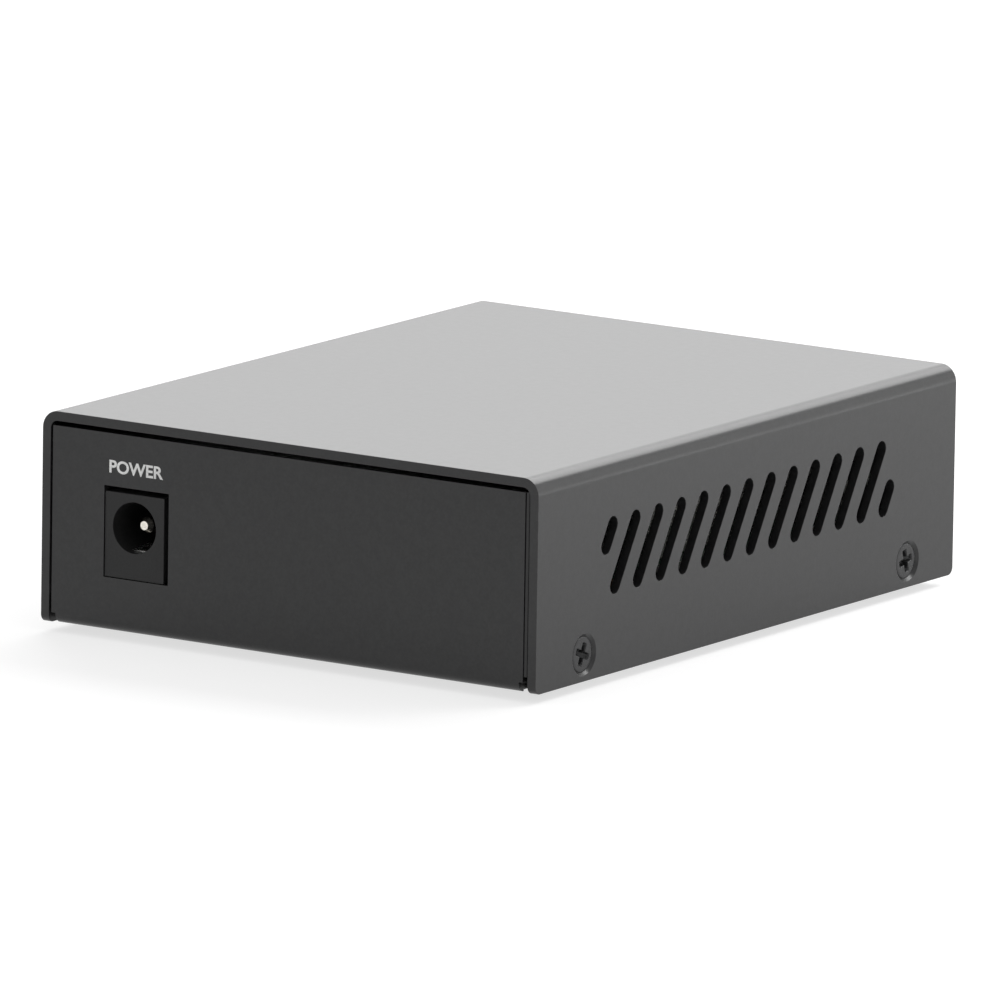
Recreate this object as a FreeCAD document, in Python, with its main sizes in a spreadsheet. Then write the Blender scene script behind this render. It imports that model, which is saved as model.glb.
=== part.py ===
# Desktop fibre media converter: a folded steel case around one circuit board that carries an optical
# module cage, a shielded network jack, a function switch, indicator lights and a power jack.
# Row frame, millimetres: origin at the centre of the footprint on the plane of the feet, +Z up,
# network ports towards -Y, power jack towards +Y.
import FreeCAD, Part
import Sketcher
import os
import re

doc = FreeCAD.newDocument("media_converter")
sizes = doc.addObject("Spreadsheet::Sheet", "Sizes")
places = doc.addObject("Spreadsheet::Sheet", "Places")

SIZES = [
    # Folded case.
    ("case_w", 73.0, "case width along X"),
    ("case_d", 94.5, "case depth along Y"),
    ("case_h", 26.6, "case height without the feet"),
    ("sheet_t", 1.2, "steel sheet of cover and tray"),
    ("bend_r", 2.2, "outside radius of a cover bend"),
    ("tray_fold_r", 0.1, "inside radius of a tray bend"),
    ("rim_r", 1.0, "rounded free corner of a cover side"),
    ("side_gap", 0.2, "air between a cover side and the tray"),
    ("lid_gap", 0.62, "air between the cover and a panel's top edge"),
    ("panel_recess", 0.2, "end panels set back inside the cover rim"),
    ("flange_h", 8.4, "tray side flange, above the case bottom"),
    ("flange_end", 2.0, "bend relief between a flange and an end panel"),
    ("relief_w", 0.6, "bend relief, across"),
    ("relief_up", 1.3, "bend relief, up the end panel"),
    ("rear_trim", 0.6, "rear panel cut back along its edge on the -X side"),
    # Slanted side vents.
    ("vent_r", 1.05, "half the width of a vent slot"),
    ("vent_low", 10.87, "lower end of the vents, above the case bottom"),
    ("vent_high", 18.54, "upper end of the vents, above the case bottom"),
    ("vent_lean", 60.0, "slant of a vent slot, degrees from level"),
    ("vent_back", 21.63, "case rear to the upper end of the rearmost full vent"),
    ("vent_front", 12.15, "case front to the upper end of the clipped front vent"),
    ("vent_count", 12, "full vent slots on each side"),
    ("vent_cut", 2.5, "height kept of the clipped end slots"),

    # Feet.
    ("foot_r", 4.0, "foot radius"),
    ("foot_h", 1.2, "foot height"),
    ("foot_in", 12.0, "foot centre in from the case edges"),
    # Case screws.
    ("screw_in", 10.65, "case screw, in from the case ends"),
    ("screw_z", 3.35, "case screw, above the case bottom"),
    ("screw_r", 1.5, "case screw shank radius"),
    ("screw_head_r", 2.27, "case screw head radius"),
    ("screw_l", 4.6, "case screw length"),
    ("screw_gap", 0.08, "air around a screw"),
    ("screw_sink", 0.28, "case screw face below the cover side"),
    ("cross_l", 2.7, "cross recess, tip to tip"),
    ("cross_w", 0.62, "cross recess, width of an arm"),
    ("cross_deep", 0.95, "cross recess depth"),
    # Circuit board and its fixings.
    ("board_t", 1.6, "board thickness"),
    ("board_side", 0.6, "air between board and tray flanges"),
    ("board_front", 1.9, "front panel to board edge"),
    ("board_rear", 0.5, "rear panel to board edge"),
    ("board_corner", 1.0, "board corner radius"),
    ("post_h", 4.0, "standoff height"),
    ("post_r", 2.85, "standoff radius over its corners"),
    ("post_fit", 0.05, "air round a standoff in the tray floor"),
    ("post_side", 2.6, "standoff, in from the board's side edges"),
    ("post_end", 19.25, "standoff, in from the case ends"),
    ("pin_screw_r", 1.5, "board screw shank radius"),
    ("pin_screw_head_r", 2.6, "board screw head radius"),
    ("pin_screw_head_h", 1.9, "board screw head height"),
    ("pin_screw_l", 5.0, "board screw length under the head"),
    # Optical module cage.
    ("cage_side", 2.15, "light block to cage"),
    ("cage_w", 14.3, "cage width"),
    ("cage_h", 9.8, "cage height above the board"),
    ("cage_l", 47.0, "cage length"),
    ("cage_t", 0.3, "cage sheet"),
    ("cage_bend", 0.5, "cage corner radius"),
    ("port_back", 0.1, "port faces behind the cover's front edge"),
    ("finger_out", 0.6, "spring finger bulge"),
    ("finger_l", 3.0, "spring collar length"),
    ("finger_gap", 0.05, "air between a spring finger and the panel"),
    ("finger_seat", 0.02, "air between collar and cage"),
    ("finger_start", 0.3, "finger tip behind the cage mouth"),
    ("band_l", 0.8, "collar band length"),
    ("finger_low", 0.9, "lowest side finger above the board"),
    ("finger_rows", 5, "fingers on a side"),
    ("finger_cols", 7, "fingers above and below"),
    ("finger_w", 1.2, "spring finger width"),
    ("finger_pitch", 1.8, "spring finger step"),
    ("finger_t", 0.15, "spring collar sheet"),
    ("cage_pin_y", 9.5, "first press pin behind the mouth"),
    ("cage_pin_w", 0.6, "press pin width"),
    ("cage_pin_l", 2.4, "press pin length below the board top"),
    ("cage_pin_pitch", 11.0, "press pin step along the cage"),
    ("cage_pins", 4, "press pins on a side"),
    ("latch_y", 4.5, "latch hole behind the mouth"),
    ("latch_hole", 3.4, "latch hole size"),
    ("cage_vent_y", 12.0, "first row of roof holes behind the mouth"),
    ("cage_vent_rows", 5, "rows of roof holes"),
    ("cage_vent_r", 0.9, "hole in the cage roof"),
    ("cage_vent_pitch", 3.6, "step of the roof holes"),
    # Module connector in the cage.
    ("host_w", 11.6, "module connector width"),
    ("host_h", 5.6, "module connector height"),
    ("host_l", 9.2, "module connector length"),
    ("host_slot_w", 9.8, "card slot width"),
    ("host_slot_h", 1.4, "card slot height"),
    ("host_slot_z", 3.0, "card slot centre above the board"),
    ("host_slot_l", 6.0, "card slot depth"),
    ("host_gap", 0.4, "air round the module connector"),
    ("host_pitch", 0.8, "module connector contact step"),
    ("host_count", 10, "module connector contacts in a row"),
    # Network jack.
    ("net_side", 5.9, "network jack to board edge"),
    ("net_w", 16.0, "shield width"),
    ("net_h", 13.5, "shield height above the board"),
    ("net_l", 21.4, "shield length"),
    ("net_t", 0.3, "shield sheet"),
    ("net_fit", 0.08, "air between shield and moulding"),
    ("plug_w", 11.9, "plug cavity width"),
    ("plug_h", 7.0, "plug cavity height"),
    ("plug_l", 13.6, "plug cavity depth"),
    ("plug_z", 4.2, "plug cavity floor above the board"),
    ("latch_w", 6.3, "latch notch width"),
    ("latch_h", 1.7, "latch notch depth below the cavity"),
    ("wire_t", 0.3, "contact wire thickness"),
    ("wire_w", 0.45, "contact wire width"),
    ("wire_pitch", 1.02, "contact step"),
    ("wire_count", 8, "contacts"),
    ("wire_y", 1.6, "contact fold behind the mouth"),
    ("wire_l", 7.6, "contact free length"),
    ("shaft_y", 16.2, "back of the wire shaft behind the mouth"),
    ("wire_drop", 1.6, "contact free end below the cavity roof"),
    ("peg_x", 5.7, "locating peg from the middle"),
    ("peg_y", 9.0, "locating peg behind the mouth"),
    ("tab_y", 13.0, "shield leg behind the mouth"),
    ("tab_w", 1.5, "shield leg width"),
    ("tab_l", 4.0, "earthing tab length"),
    ("tab_wide", 2.4, "earthing tab width"),
    ("peg_r", 1.5, "locating peg radius"),
    ("peg_l", 2.4, "locating peg length below the board top"),
    # Function switch.
    ("dip_w", 6.4, "switch width"),
    ("dip_h", 9.0, "switch height"),
    ("dip_l", 5.0, "switch depth"),
    ("dip_gap", 0.15, "switch face behind the front panel"),
    ("way_pitch", 2.54, "lever step"),
    ("lever_w", 1.3, "lever width"),
    ("lever_h", 1.5, "lever height"),
    ("lever_z", 3.4, "lever centre above the board, lever down"),
    ("lever_travel", 2.0, "lever travel"),
    ("lever_gap", 0.1, "air around a lever in its slot"),
    ("lever_deep", 2.2, "lever foot inside the switch"),
    ("lever_out", 0.1, "lever tip past the panel's outer face"),
    ("window_side", 0.5, "switch face hidden behind each side of the window"),
    # Indicator lights.
    ("lamp_side", 0.2, "board edge to light block"),
    ("lamp_w", 9.4, "light block width"),
    ("lamp_h", 10.2, "light block height"),
    ("lamp_l", 5.6, "light block depth"),
    ("lamp_gap", 0.15, "light block behind the front panel"),
    ("lamp_r", 1.45, "light radius"),
    ("lamp_pitch", 4.6, "light step, across and up"),
    ("lamp_z", 2.8, "lower lights above the board"),
    ("lamp_fit", 0.1, "air around a light"),
    ("lamp_deep", 4.4, "light socket depth"),
    ("lamp_out", 0.15, "light tip past the panel's outer face"),
    # Power jack.
    ("jack_in", 13.6, "power jack axis, in from the case side"),
    ("jack_z", 6.5, "power jack axis above the board"),
    ("jack_w", 8.8, "power jack width"),
    ("jack_h", 10.7, "power jack height"),
    ("jack_l", 13.6, "power jack length"),
    ("jack_lip", 3.2, "full height front block of the power jack"),
    ("jack_back", 0.15, "power jack face behind the rear panel face"),
    ("jack_shift", 0.35, "panel cut-out centre from the jack axis"),
    ("jack_side", 0.4, "air beside the power jack in the cut-out"),
    ("jack_over", 0.7, "air above the power jack in the cut-out"),
    ("jack_under", 0.05, "cut-out edge below the board top"),
    ("jack_hole_r", 3.2, "plug bore radius"),
    ("jack_hole_l", 9.6, "plug bore depth"),
    ("jack_pin_r", 1.0, "centre pin radius"),
    ("jack_root_r", 1.25, "centre pin root radius"),
    ("jack_pin_back", 2.1, "centre pin tip behind the jack face"),
    ("pin_fit", 0.04, "air round the centre pin in its seat"),
    ("jack_leaf_y", 11.2, "leaf leg behind the jack face"),
    ("jack_leaf_front", 1.2, "front of the leaf slot behind the jack face"),
    ("leaf_tip", 0.2, "leaf tip behind the front of its slot"),
    ("leaf_bend", 4.4, "contact bend of the leaf behind the front of its slot"),
    ("leg_fit", 0.15, "board hole wider than a leg, each side"),
    ("jack_leg_w", 2.4, "solder leg width"),
    ("jack_leg_t", 0.4, "solder leg thickness"),
    ("jack_leg_l", 2.9, "solder leg length below the board top"),
    ("jack_eye", 2.1, "half the width of the terminal's eye round the pin"),
    # Parts on the board.
    ("chip_side", 14.0, "transceiver body side"),
    ("chip_h", 1.5, "transceiver body height"),
    ("chip_in", 7.4, "transceiver from the network jack centre, across"),
    ("chip_gap", 7.2, "isolation transformer leads to transceiver leads"),
    ("chip_pitch", 1.27, "transceiver lead step"),
    ("chip_leads", 9, "transceiver leads on a side"),
    ("lead_t", 0.2, "lead thickness"),
    ("lead_w", 0.4, "transceiver lead width"),
    ("lead_reach", 1.0, "lead length outside a body"),
    ("chip_lift", 0.1, "air under a package"),
    ("chip_slope", 0.3, "package edge slope"),
    ("magnet_lead", 0.45, "wide lead width"),
    ("magnet_w", 15.2, "isolation transformer length"),
    ("magnet_d", 9.6, "isolation transformer width"),
    ("magnet_h", 5.8, "isolation transformer height"),
    ("magnet_gap", 5.45, "network jack to isolation transformer leads"),
    ("magnet_pitch", 1.78, "isolation transformer lead step"),
    ("magnet_leads", 8, "isolation transformer leads on a side"),
    ("small_pitch", 1.27, "eight lead chip lead step"),
    ("small_w", 4.9, "eight lead chip length"),
    ("small_d", 3.9, "eight lead chip width"),
    ("small_h", 1.5, "eight lead chip height"),
    ("small_leads", 4, "eight lead chip leads on a side"),
    ("memory_gap", 4.0, "memory chip to cage"),
    ("memory_in", 20.0, "memory chip from the standoffs, along"),
    ("supply_in", 15.4, "supply chip from the power jack axis, across"),
    ("supply_back", 14.95, "supply chip from the board's rear edge"),
    ("can_r", 3.15, "capacitor can radius"),
    ("can_edge", 0.4, "rolled edge of a can"),
    ("can_h", 7.7, "capacitor can height"),
    ("can_in", 25.9, "first capacitor from the power jack axis, across"),
    ("can_back", 6.95, "capacitor row from the board's rear edge"),
    ("can_pitch", 8.6, "capacitor step"),
    ("can_count", 3, "capacitors in the row"),
    ("coil_side", 6.6, "power coil side"),
    ("coil_h", 4.0, "power coil height"),
    ("coil_in", 26.4, "power coil from the power jack axis, across"),
    ("coil_back", 17.45, "power coil from the board's rear edge"),
    ("crystal_w", 11.0, "crystal can length"),
    ("crystal_d", 4.4, "crystal can width"),
    ("crystal_h", 3.6, "crystal can height"),
    ("crystal_side", 0.8, "crystal to board edge"),
    ("pad_w", 1.6, "chip capacitor length"),
    ("pad_d", 0.8, "chip capacitor width"),
    ("pad_h", 0.8, "chip capacitor height"),
    ("pad_side", 1.8, "chip capacitor field from the board edge"),
    ("pad_in", 14.0, "chip capacitor field from the standoffs, along"),
    ("pad_step_x", 3.2, "chip capacitor field step, across"),
    ("pad_step_y", 2.8, "chip capacitor field step, along"),
    ("pad_columns", 3, "chip capacitors across"),
    ("pad_rows", 4, "chip capacitors along"),
    ("diode_w", 4.4, "input diode length"),
    ("diode_d", 2.7, "input diode width"),
    ("diode_h", 2.2, "input diode height"),
    ("diode_in", 10.9, "input diode from the power jack axis, across"),
    ("diode_back", 6.45, "input diode from the board's rear edge"),
]
# Derived sizes and places, as formulas of the sizes above. Heights inside the case are measured from
# the case bottom, heights of what stands on the board from the board's top face.
PLACES = [
    ("inner_x", "case_w/2 - sheet_t", "inner face of a cover side"),
    ("panel_x", "case_w/2 - sheet_t - side_gap", "side of the tray"),
    ("panel_y", "case_d/2 - panel_recess", "outer face of an end panel"),
    ("panel_in", "panel_y - sheet_t", "inner face of an end panel"),
    ("panel_top", "case_h - sheet_t - lid_gap", "top edge of an end panel"),
    ("tray_bend_r", "tray_fold_r + sheet_t", "outside radius of a tray bend"),
    ("trim_x", "panel_x - rear_trim", "rear panel edge on the -X side"),
    ("flange_y", "panel_in - flange_end", "end of a tray flange"),
    ("screw_y", "case_d/2 - screw_in", "case screw, along"),
    ("head_x", "case_w/2 - screw_sink", "face of a case screw"),
    ("shank_hole", "screw_r + screw_gap", "hole for a case screw"),
    ("vent_y", "case_d/2 - vent_back", "upper end of the rearmost full vent"),
    ("vent_pitch", "(case_d - vent_back - vent_front)/vent_count", "step from vent to vent"),
    ("vent_run", "(vent_high - vent_low)/tan(vent_lean)", "slant of a vent along Y"),
    ("vent_clip", "vent_cut/tan(vent_lean)", "slant of a clipped vent along Y"),
    ("board_low", "sheet_t + post_h", "underside of the board"),
    ("board_top", "board_low + board_t", "top face of the board"),
    ("board_x", "panel_x - sheet_t - board_side", "side edge of the board"),
    ("board_fore", "panel_in - board_front", "front edge of the board"),
    ("board_aft", "panel_in - board_rear", "rear edge of the board"),
    ("board_hole", "pin_screw_r + screw_gap", "hole for a board screw"),
    ("post_x", "board_x - post_side", "standoff, across"),
    ("post_y", "case_d/2 - post_end", "standoff, along"),
    # Across the front: the light block keeps to the left board edge with the cage beside it, the
    # network jack to the right edge, and the switch stands midway between cage and network jack.
    ("port_y", "port_back - case_d/2", "mouth of cage and network jack"),
    ("lamp_x", "lamp_side + lamp_w/2 - board_x", "light block, across"),
    ("lamp_y", "lamp_gap - panel_in", "face of the light block"),
    ("cage_x", "lamp_x + lamp_w/2 + cage_side + cage_w/2", "cage, across"),
    ("band_x", "cage_w/2 + finger_seat", "inner face of the spring collar"),
    ("host_y", "cage_l - cage_t - host_gap - host_l", "face of the module connector in the cage"),
    ("net_x", "board_x - net_side - net_w/2", "network jack, across"),
    ("plug_roof", "plug_z + plug_h", "roof of the plug cavity"),
    ("shaft_x", "wire_count*wire_pitch/2", "half the width of the wire shaft"),
    ("drop_y", "shaft_y - wire_t", "back of the contact wires"),
    ("dip_x", "(cage_x + cage_w/2 + net_x - net_w/2)/2", "switch, across"),
    ("dip_y", "dip_gap - panel_in", "face of the switch"),
    # Behind the network jack: the isolation transformer, then the transceiver with the crystal.
    ("magnet_y", "port_y + net_l + magnet_gap + lead_reach + magnet_d/2", "isolation transformer, along"),
    ("chip_x", "net_x - chip_in", "transceiver, across"),
    ("chip_y", "magnet_y + magnet_d/2 + 2*lead_reach + chip_gap + chip_side/2", "transceiver, along"),
    ("crystal_x", "board_x - crystal_side - crystal_w/2", "crystal, across"),
    ("crystal_in", "(crystal_w - crystal_d)/2", "centre of a round end of the crystal can"),
    # Beside the cage: the memory chip and the chip capacitors keep to the standoffs.
    ("memory_x", "cage_x - cage_w/2 - memory_gap - small_w/2", "memory chip, across"),
    ("memory_y", "post_y - memory_in", "memory chip, along"),
    ("pad_x", "pad_side - board_x", "first chip capacitor, across"),
    ("pad_y", "post_y - pad_in", "first chip capacitor, along"),
    # At the rear: the power jack keeps to the case side and the supply parts keep to the power jack.
    ("jack_x", "case_w/2 - jack_in", "power jack axis, across"),
    ("jack_y", "panel_y - jack_back", "face of the power jack"),
    ("barrel_x", "jack_w/2 - jack_shift", "half the width of the barrel behind the front block"),
    ("pin_end", "jack_l + jack_leg_t", "riveted end of the centre pin"),
    ("leaf_up", "jack_z - jack_hole_r", "floor of the plug bore"),
    ("supply_x", "jack_x - supply_in", "supply chip, across"),
    ("supply_y", "board_aft - supply_back", "supply chip, along"),
    ("can_x", "jack_x - can_in", "first capacitor, across"),
    ("can_y", "board_aft - can_back", "capacitors, along"),
    ("coil_x", "jack_x - coil_in", "power coil, across"),
    ("coil_y", "board_aft - coil_back", "power coil, along"),
    ("diode_x", "jack_x - diode_in", "input diode, across"),
    ("diode_y", "board_aft - diode_back", "input diode, along"),
]
SIZE_NAMES = {alias for alias, number, note in SIZES}


def bound(formula, own=None):
    """Return a formula with every name pointing at the sheet that holds it, bare in its own sheet."""
    def point(found):
        home = "Sizes" if found.group() in SIZE_NAMES else "Places"
        return found.group() if home == own else f"{home}.{found.group()}"
    return re.sub(r"\b[a-z]+_\w+", point, formula)


for table, rows in ((sizes, SIZES), (places, PLACES)):
    for row, (alias, content, note) in enumerate(rows, 1):
        table.set(f"A{row}", str(content) if table is sizes else "=" + bound(content, "Places"))
        table.setAlias(f"A{row}", alias)
        table.set(f"B{row}", note)
    doc.recompute()


def value(formula):
    """Return the present value of a formula."""
    return float(sizes.evalExpression(bound(formula)))


def bind(item, name, formula):
    item.setExpression(name, bound(formula))


def body(label, x="0", y="0", z="foot_h", turn=None):
    """Start a piece at a place in the row frame, turned about Z if asked."""
    made = doc.addObject("PartDesign::Body", label)
    made.Label = label
    made.AllowCompound = True
    if turn is not None:
        made.Placement = FreeCAD.Placement(FreeCAD.Vector(), FreeCAD.Rotation(turn, 0, 0))
    for axis, formula in zip("xyz", (x, y, z)):
        bind(made, "Placement.Base." + axis, formula)
    return made


def origin(piece, role):
    return [item for item in piece.Origin.OriginFeatures if item.Role == role][0]


def tie(sketch, kind, geometry, point, formula):
    place = sketch.addConstraint(Sketcher.Constraint(kind, -1, 1, geometry, point, value(formula)))
    sketch.setExpression(f"Constraints[{place}]", bound(formula))


def polygon(*corners):
    """Closed outline through corners given as formulas."""
    def draw(sketch):
        first = sketch.GeometryCount
        spots = [FreeCAD.Vector(value(x), value(y), 0) for x, y in corners]
        count = len(spots)
        for at in range(count):
            sketch.addGeometry(Part.LineSegment(spots[at], spots[(at + 1) % count]), False)
        for at in range(count):
            sketch.addConstraint(
                Sketcher.Constraint("Coincident", first + at, 2, first + (at + 1) % count, 1))
        for at, (x, y) in enumerate(corners):
            tie(sketch, "DistanceX", first + at, 1, x)
            tie(sketch, "DistanceY", first + at, 1, y)
    return draw


def rectangle(left, low, right, high):
    return polygon((left, low), (right, low), (right, high), (left, high))


def circle(x, y, radius):
    def draw(sketch):
        first = sketch.GeometryCount
        centre = FreeCAD.Vector(value(x), value(y), 0)
        sketch.addGeometry(Part.Circle(centre, FreeCAD.Vector(0, 0, 1), value(radius)), False)
        tie(sketch, "DistanceX", first, 3, x)
        tie(sketch, "DistanceY", first, 3, y)
        place = sketch.addConstraint(Sketcher.Constraint("Radius", first, value(radius)))
        sketch.setExpression(f"Constraints[{place}]", bound(radius))
    return draw


def ring(x, y, radius, sides):
    """Regular outline, for hexagons and for the small round parts that repeat inside the case."""
    steps = [(step + 0.5)*360/sides for step in range(sides)]
    return polygon(*[(f"{x} + {radius}*cos({angle})", f"{y} + {radius}*sin({angle})") for angle in steps])


def punched(low_y, low_z, high_y, high_z):
    """Vent slot whose round ends are drawn in six chords each."""
    turns = [30*step for step in range(7)]
    low = [(f"{low_y} + vent_r*cos(270 - vent_lean + {turn})",
            f"{low_z} + vent_r*sin(270 - vent_lean + {turn})") for turn in turns]
    high = [(f"{high_y} + vent_r*cos(90 - vent_lean + {turn})",
             f"{high_z} + vent_r*sin(90 - vent_lean + {turn})") for turn in turns]
    return polygon(*low, *high)


def slot(x1, y1, x2, y2, radius):
    """Round ended slot between two arc centres."""
    def draw(sketch):
        first = sketch.GeometryCount
        low = FreeCAD.Vector(value(x1), value(y1), 0)
        high = FreeCAD.Vector(value(x2), value(y2), 0)
        size = value(radius)
        up = FreeCAD.Vector(0, 0, 1)
        along = (high - low).normalize()
        across = up.cross(along) * size
        lean = across.getAngle(FreeCAD.Vector(1, 0, 0))
        half = 3.141592653589793
        sketch.addGeometry(Part.ArcOfCircle(Part.Circle(low, up, size), lean, lean + half), False)
        sketch.addGeometry(Part.ArcOfCircle(Part.Circle(high, up, size), lean + half, lean + 2*half), False)
        sketch.addGeometry(Part.LineSegment(low - across, high - across), False)
        sketch.addGeometry(Part.LineSegment(high + across, low + across), False)
        for curve, end, line, start in ((0, 2, 2, 1), (1, 1, 2, 2), (1, 2, 3, 1), (0, 1, 3, 2)):
            sketch.addConstraint(
                Sketcher.Constraint("Tangent", first + curve, end, first + line, start))
        for curve, x, y in ((0, x1, y1), (1, x2, y2)):
            tie(sketch, "DistanceX", first + curve, 3, x)
            tie(sketch, "DistanceY", first + curve, 3, y)
        sketch.addConstraint(Sketcher.Constraint("Equal", first, first + 1))
        place = sketch.addConstraint(Sketcher.Constraint("Radius", first, size))
        sketch.setExpression(f"Constraints[{place}]", bound(radius))
    return draw


def draw_on(piece, role, *outlines, level="0", x="0", y="0"):
    """Sketch on an origin plane of the piece, moved by level along the plane's own normal."""
    made = piece.newObject("Sketcher::SketchObject", piece.Label + "_sketch")
    made.AttachmentSupport = (origin(piece, role + "_Plane"), [""])
    made.MapMode = "FlatFace"
    for axis, formula in zip("xyz", (x, y, level)):
        bind(made, "AttachmentOffset.Base." + axis, formula)
    for outline in outlines:
        outline(made)
    doc.recompute()
    return made


def pad(piece, sketch, length, back=False, both=False):
    made = piece.newObject("PartDesign::Pad", piece.Label + "_pad")
    made.Profile = sketch
    bind(made, "Length", length)
    made.Reversed = back
    made.Midplane = both
    doc.recompute()
    return made


def shaped(piece, made, before, sign):
    """Insist that a feature adds (sign 1) or takes (sign -1) material."""
    doc.recompute()
    if sign * (made.Shape.Volume - before) <= 1e-6:
        raise ValueError(f"{made.Label} changes nothing on {piece.Label}")
    return made


def pocket(piece, sketch, length=None, back=False, both=False, taper=0):
    """Cut a sketch into the piece; with no length it goes through everything."""
    before = piece.Tip.Shape.Volume
    made = piece.newObject("PartDesign::Pocket", piece.Label + "_pocket")
    made.Profile = sketch
    if length is None:
        made.Type = "ThroughAll"
    else:
        bind(made, "Length", length)
    made.Reversed = back
    made.Midplane = both
    made.TaperAngle = taper
    return shaped(piece, made, before, -1)


def revolve(piece, sketch, axis="V_Axis"):
    made = piece.newObject("PartDesign::Revolution", piece.Label + "_turn")
    made.Profile = sketch
    made.ReferenceAxis = (sketch, [axis])
    made.Angle = 360
    doc.recompute()
    return made


def repeat(piece, feature, axis, step, count, back=False):
    """Repeat one feature, or with None the whole piece, in a row along an origin axis."""
    before = piece.Tip.Shape.Volume
    made = piece.newObject("PartDesign::LinearPattern", piece.Label + "_row")
    if feature is None:
        made.TransformMode = "Whole shape"
    else:
        made.Originals = [feature]
    made.Direction = (origin(piece, axis + "_Axis"), [""])
    made.Mode = "Spacing"
    made.Reversed = back
    bind(made, "Offset", step)
    bind(made, "Occurrences", count)
    piece.Tip = made
    doc.recompute()
    if abs(made.Shape.Volume - before) <= 1e-6:
        raise ValueError(f"{made.Label} changes nothing on {piece.Label}")
    return made


def mirror(piece, role, *features):
    """Mirror the named features, or the whole piece, in an origin plane."""
    before = piece.Tip.Shape.Volume
    made = piece.newObject("PartDesign::Mirrored", piece.Label + "_mirror")
    if features:
        made.Originals = list(features)
    else:
        made.TransformMode = "Whole shape"
    made.MirrorPlane = (origin(piece, role + "_Plane"), [""])
    piece.Tip = made
    doc.recompute()
    if abs(made.Shape.Volume - before) <= 1e-6:
        raise ValueError(f"{made.Label} changes nothing on {piece.Label}")
    return made


def edges(feature, wanted):
    """Names of a feature's edges that a test on the edge's box picks."""
    return [f"Edge{at}" for at, edge in enumerate(feature.Shape.Edges, 1) if wanted(edge.BoundBox)]


def near(number, formula):
    return abs(number - value(formula)) < 1e-4


def round_off(piece, wanted, radius, kind="Fillet"):
    """Fillet or chamfer the picked edges of the piece's last feature."""
    base = piece.Tip
    picked = edges(base, wanted)
    if not picked:
        raise ValueError(f"no edge to round on {piece.Label}")
    made = piece.newObject("PartDesign::" + kind, piece.Label + "_" + kind.lower())
    made.Base = (base, picked)
    bind(made, "Radius" if kind == "Fillet" else "Size", radius)
    doc.recompute()
    return made


# Cover: one sheet folded down at both sides, open at the front, the rear and below.
cover = body("cover")
draw = draw_on(cover, "XZ", polygon(
    ("-case_w/2", "0"), ("-case_w/2", "case_h"), ("case_w/2", "case_h"), ("case_w/2", "0"),
    ("inner_x", "0"), ("inner_x", "case_h - sheet_t"), ("-inner_x", "case_h - sheet_t"),
    ("-inner_x", "0")))
pad(cover, draw, "case_d", both=True)
round_off(cover, lambda b: near(b.YLength, "case_d") and near(b.ZMin, "case_h") and b.XLength < 1e-4, "bend_r")
round_off(cover, lambda b: near(b.YLength, "case_d") and near(b.ZMin, "case_h - sheet_t") and b.XLength < 1e-4
          and near(abs(b.XMin), "inner_x"), "bend_r - sheet_t")
round_off(cover, lambda b: near(b.XLength, "sheet_t") and b.ZMax < 1e-4 and b.YLength < 1e-4, "rim_r")

# Vent slots punched through both sides while the sheet is flat, so the two sides mirror each other.
# The row is clipped to a level band: its first and last slots keep only the part inside the band.
draw = draw_on(cover, "YZ", punched("vent_y + vent_run", "vent_low", "vent_y", "vent_high"))
vent = pocket(cover, draw, both=True)
repeat(cover, vent, "Y", "vent_pitch", "vent_count", back=True)
draw = draw_on(
    cover, "YZ",
    punched("vent_y + vent_pitch + vent_clip", "vent_high - vent_cut",
            "vent_y + vent_pitch", "vent_high"),
    punched("vent_y - vent_pitch*vent_count + vent_run", "vent_low",
            "vent_y - vent_pitch*vent_count + vent_run - vent_clip",
            "vent_low + vent_cut"))
pocket(cover, draw, both=True)

# Countersunk screw holes, two low on each side.
for side in (1, -1):
    level = "case_w/2" if side > 0 else "-case_w/2"
    draw = draw_on(cover, "YZ", circle("screw_y", "screw_z", "shank_hole"),
                   circle("-screw_y", "screw_z", "shank_hole"), level=level)
    before = cover.Tip.Shape.Volume
    hole = cover.newObject("PartDesign::Hole", "cover_screw_hole")
    hole.Profile = draw
    hole.DepthType = "Dimension"
    bind(hole, "Depth", "2*sheet_t")
    bind(hole, "Diameter", "2*shank_hole")
    hole.HoleCutType = "Countersink"
    bind(hole, "HoleCutDiameter", "2*(screw_head_r + screw_sink + screw_gap)")
    hole.HoleCutCountersinkAngle = 90
    hole.DrillPoint = "Flat"
    hole.Reversed = side < 0
    shaped(cover, hole, before, -1)

# Base tray: the second folded sheet, floor with both end panels and a low flange along each side.
tray = body("base_tray")
draw = draw_on(tray, "YZ", polygon(
    ("-panel_y", "0"), ("-panel_y", "panel_top"), ("-panel_in", "panel_top"),
    ("-panel_in", "sheet_t"), ("panel_in", "sheet_t"), ("panel_in", "panel_top"),
    ("panel_y", "panel_top"), ("panel_y", "0")))
pad(tray, draw, "2*panel_x", both=True)
draw = draw_on(tray, "XY", rectangle("panel_x - sheet_t", "-flange_y", "panel_x", "flange_y"))
flange = pad(tray, draw, "flange_h")
mirror(tray, "YZ", flange)
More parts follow.
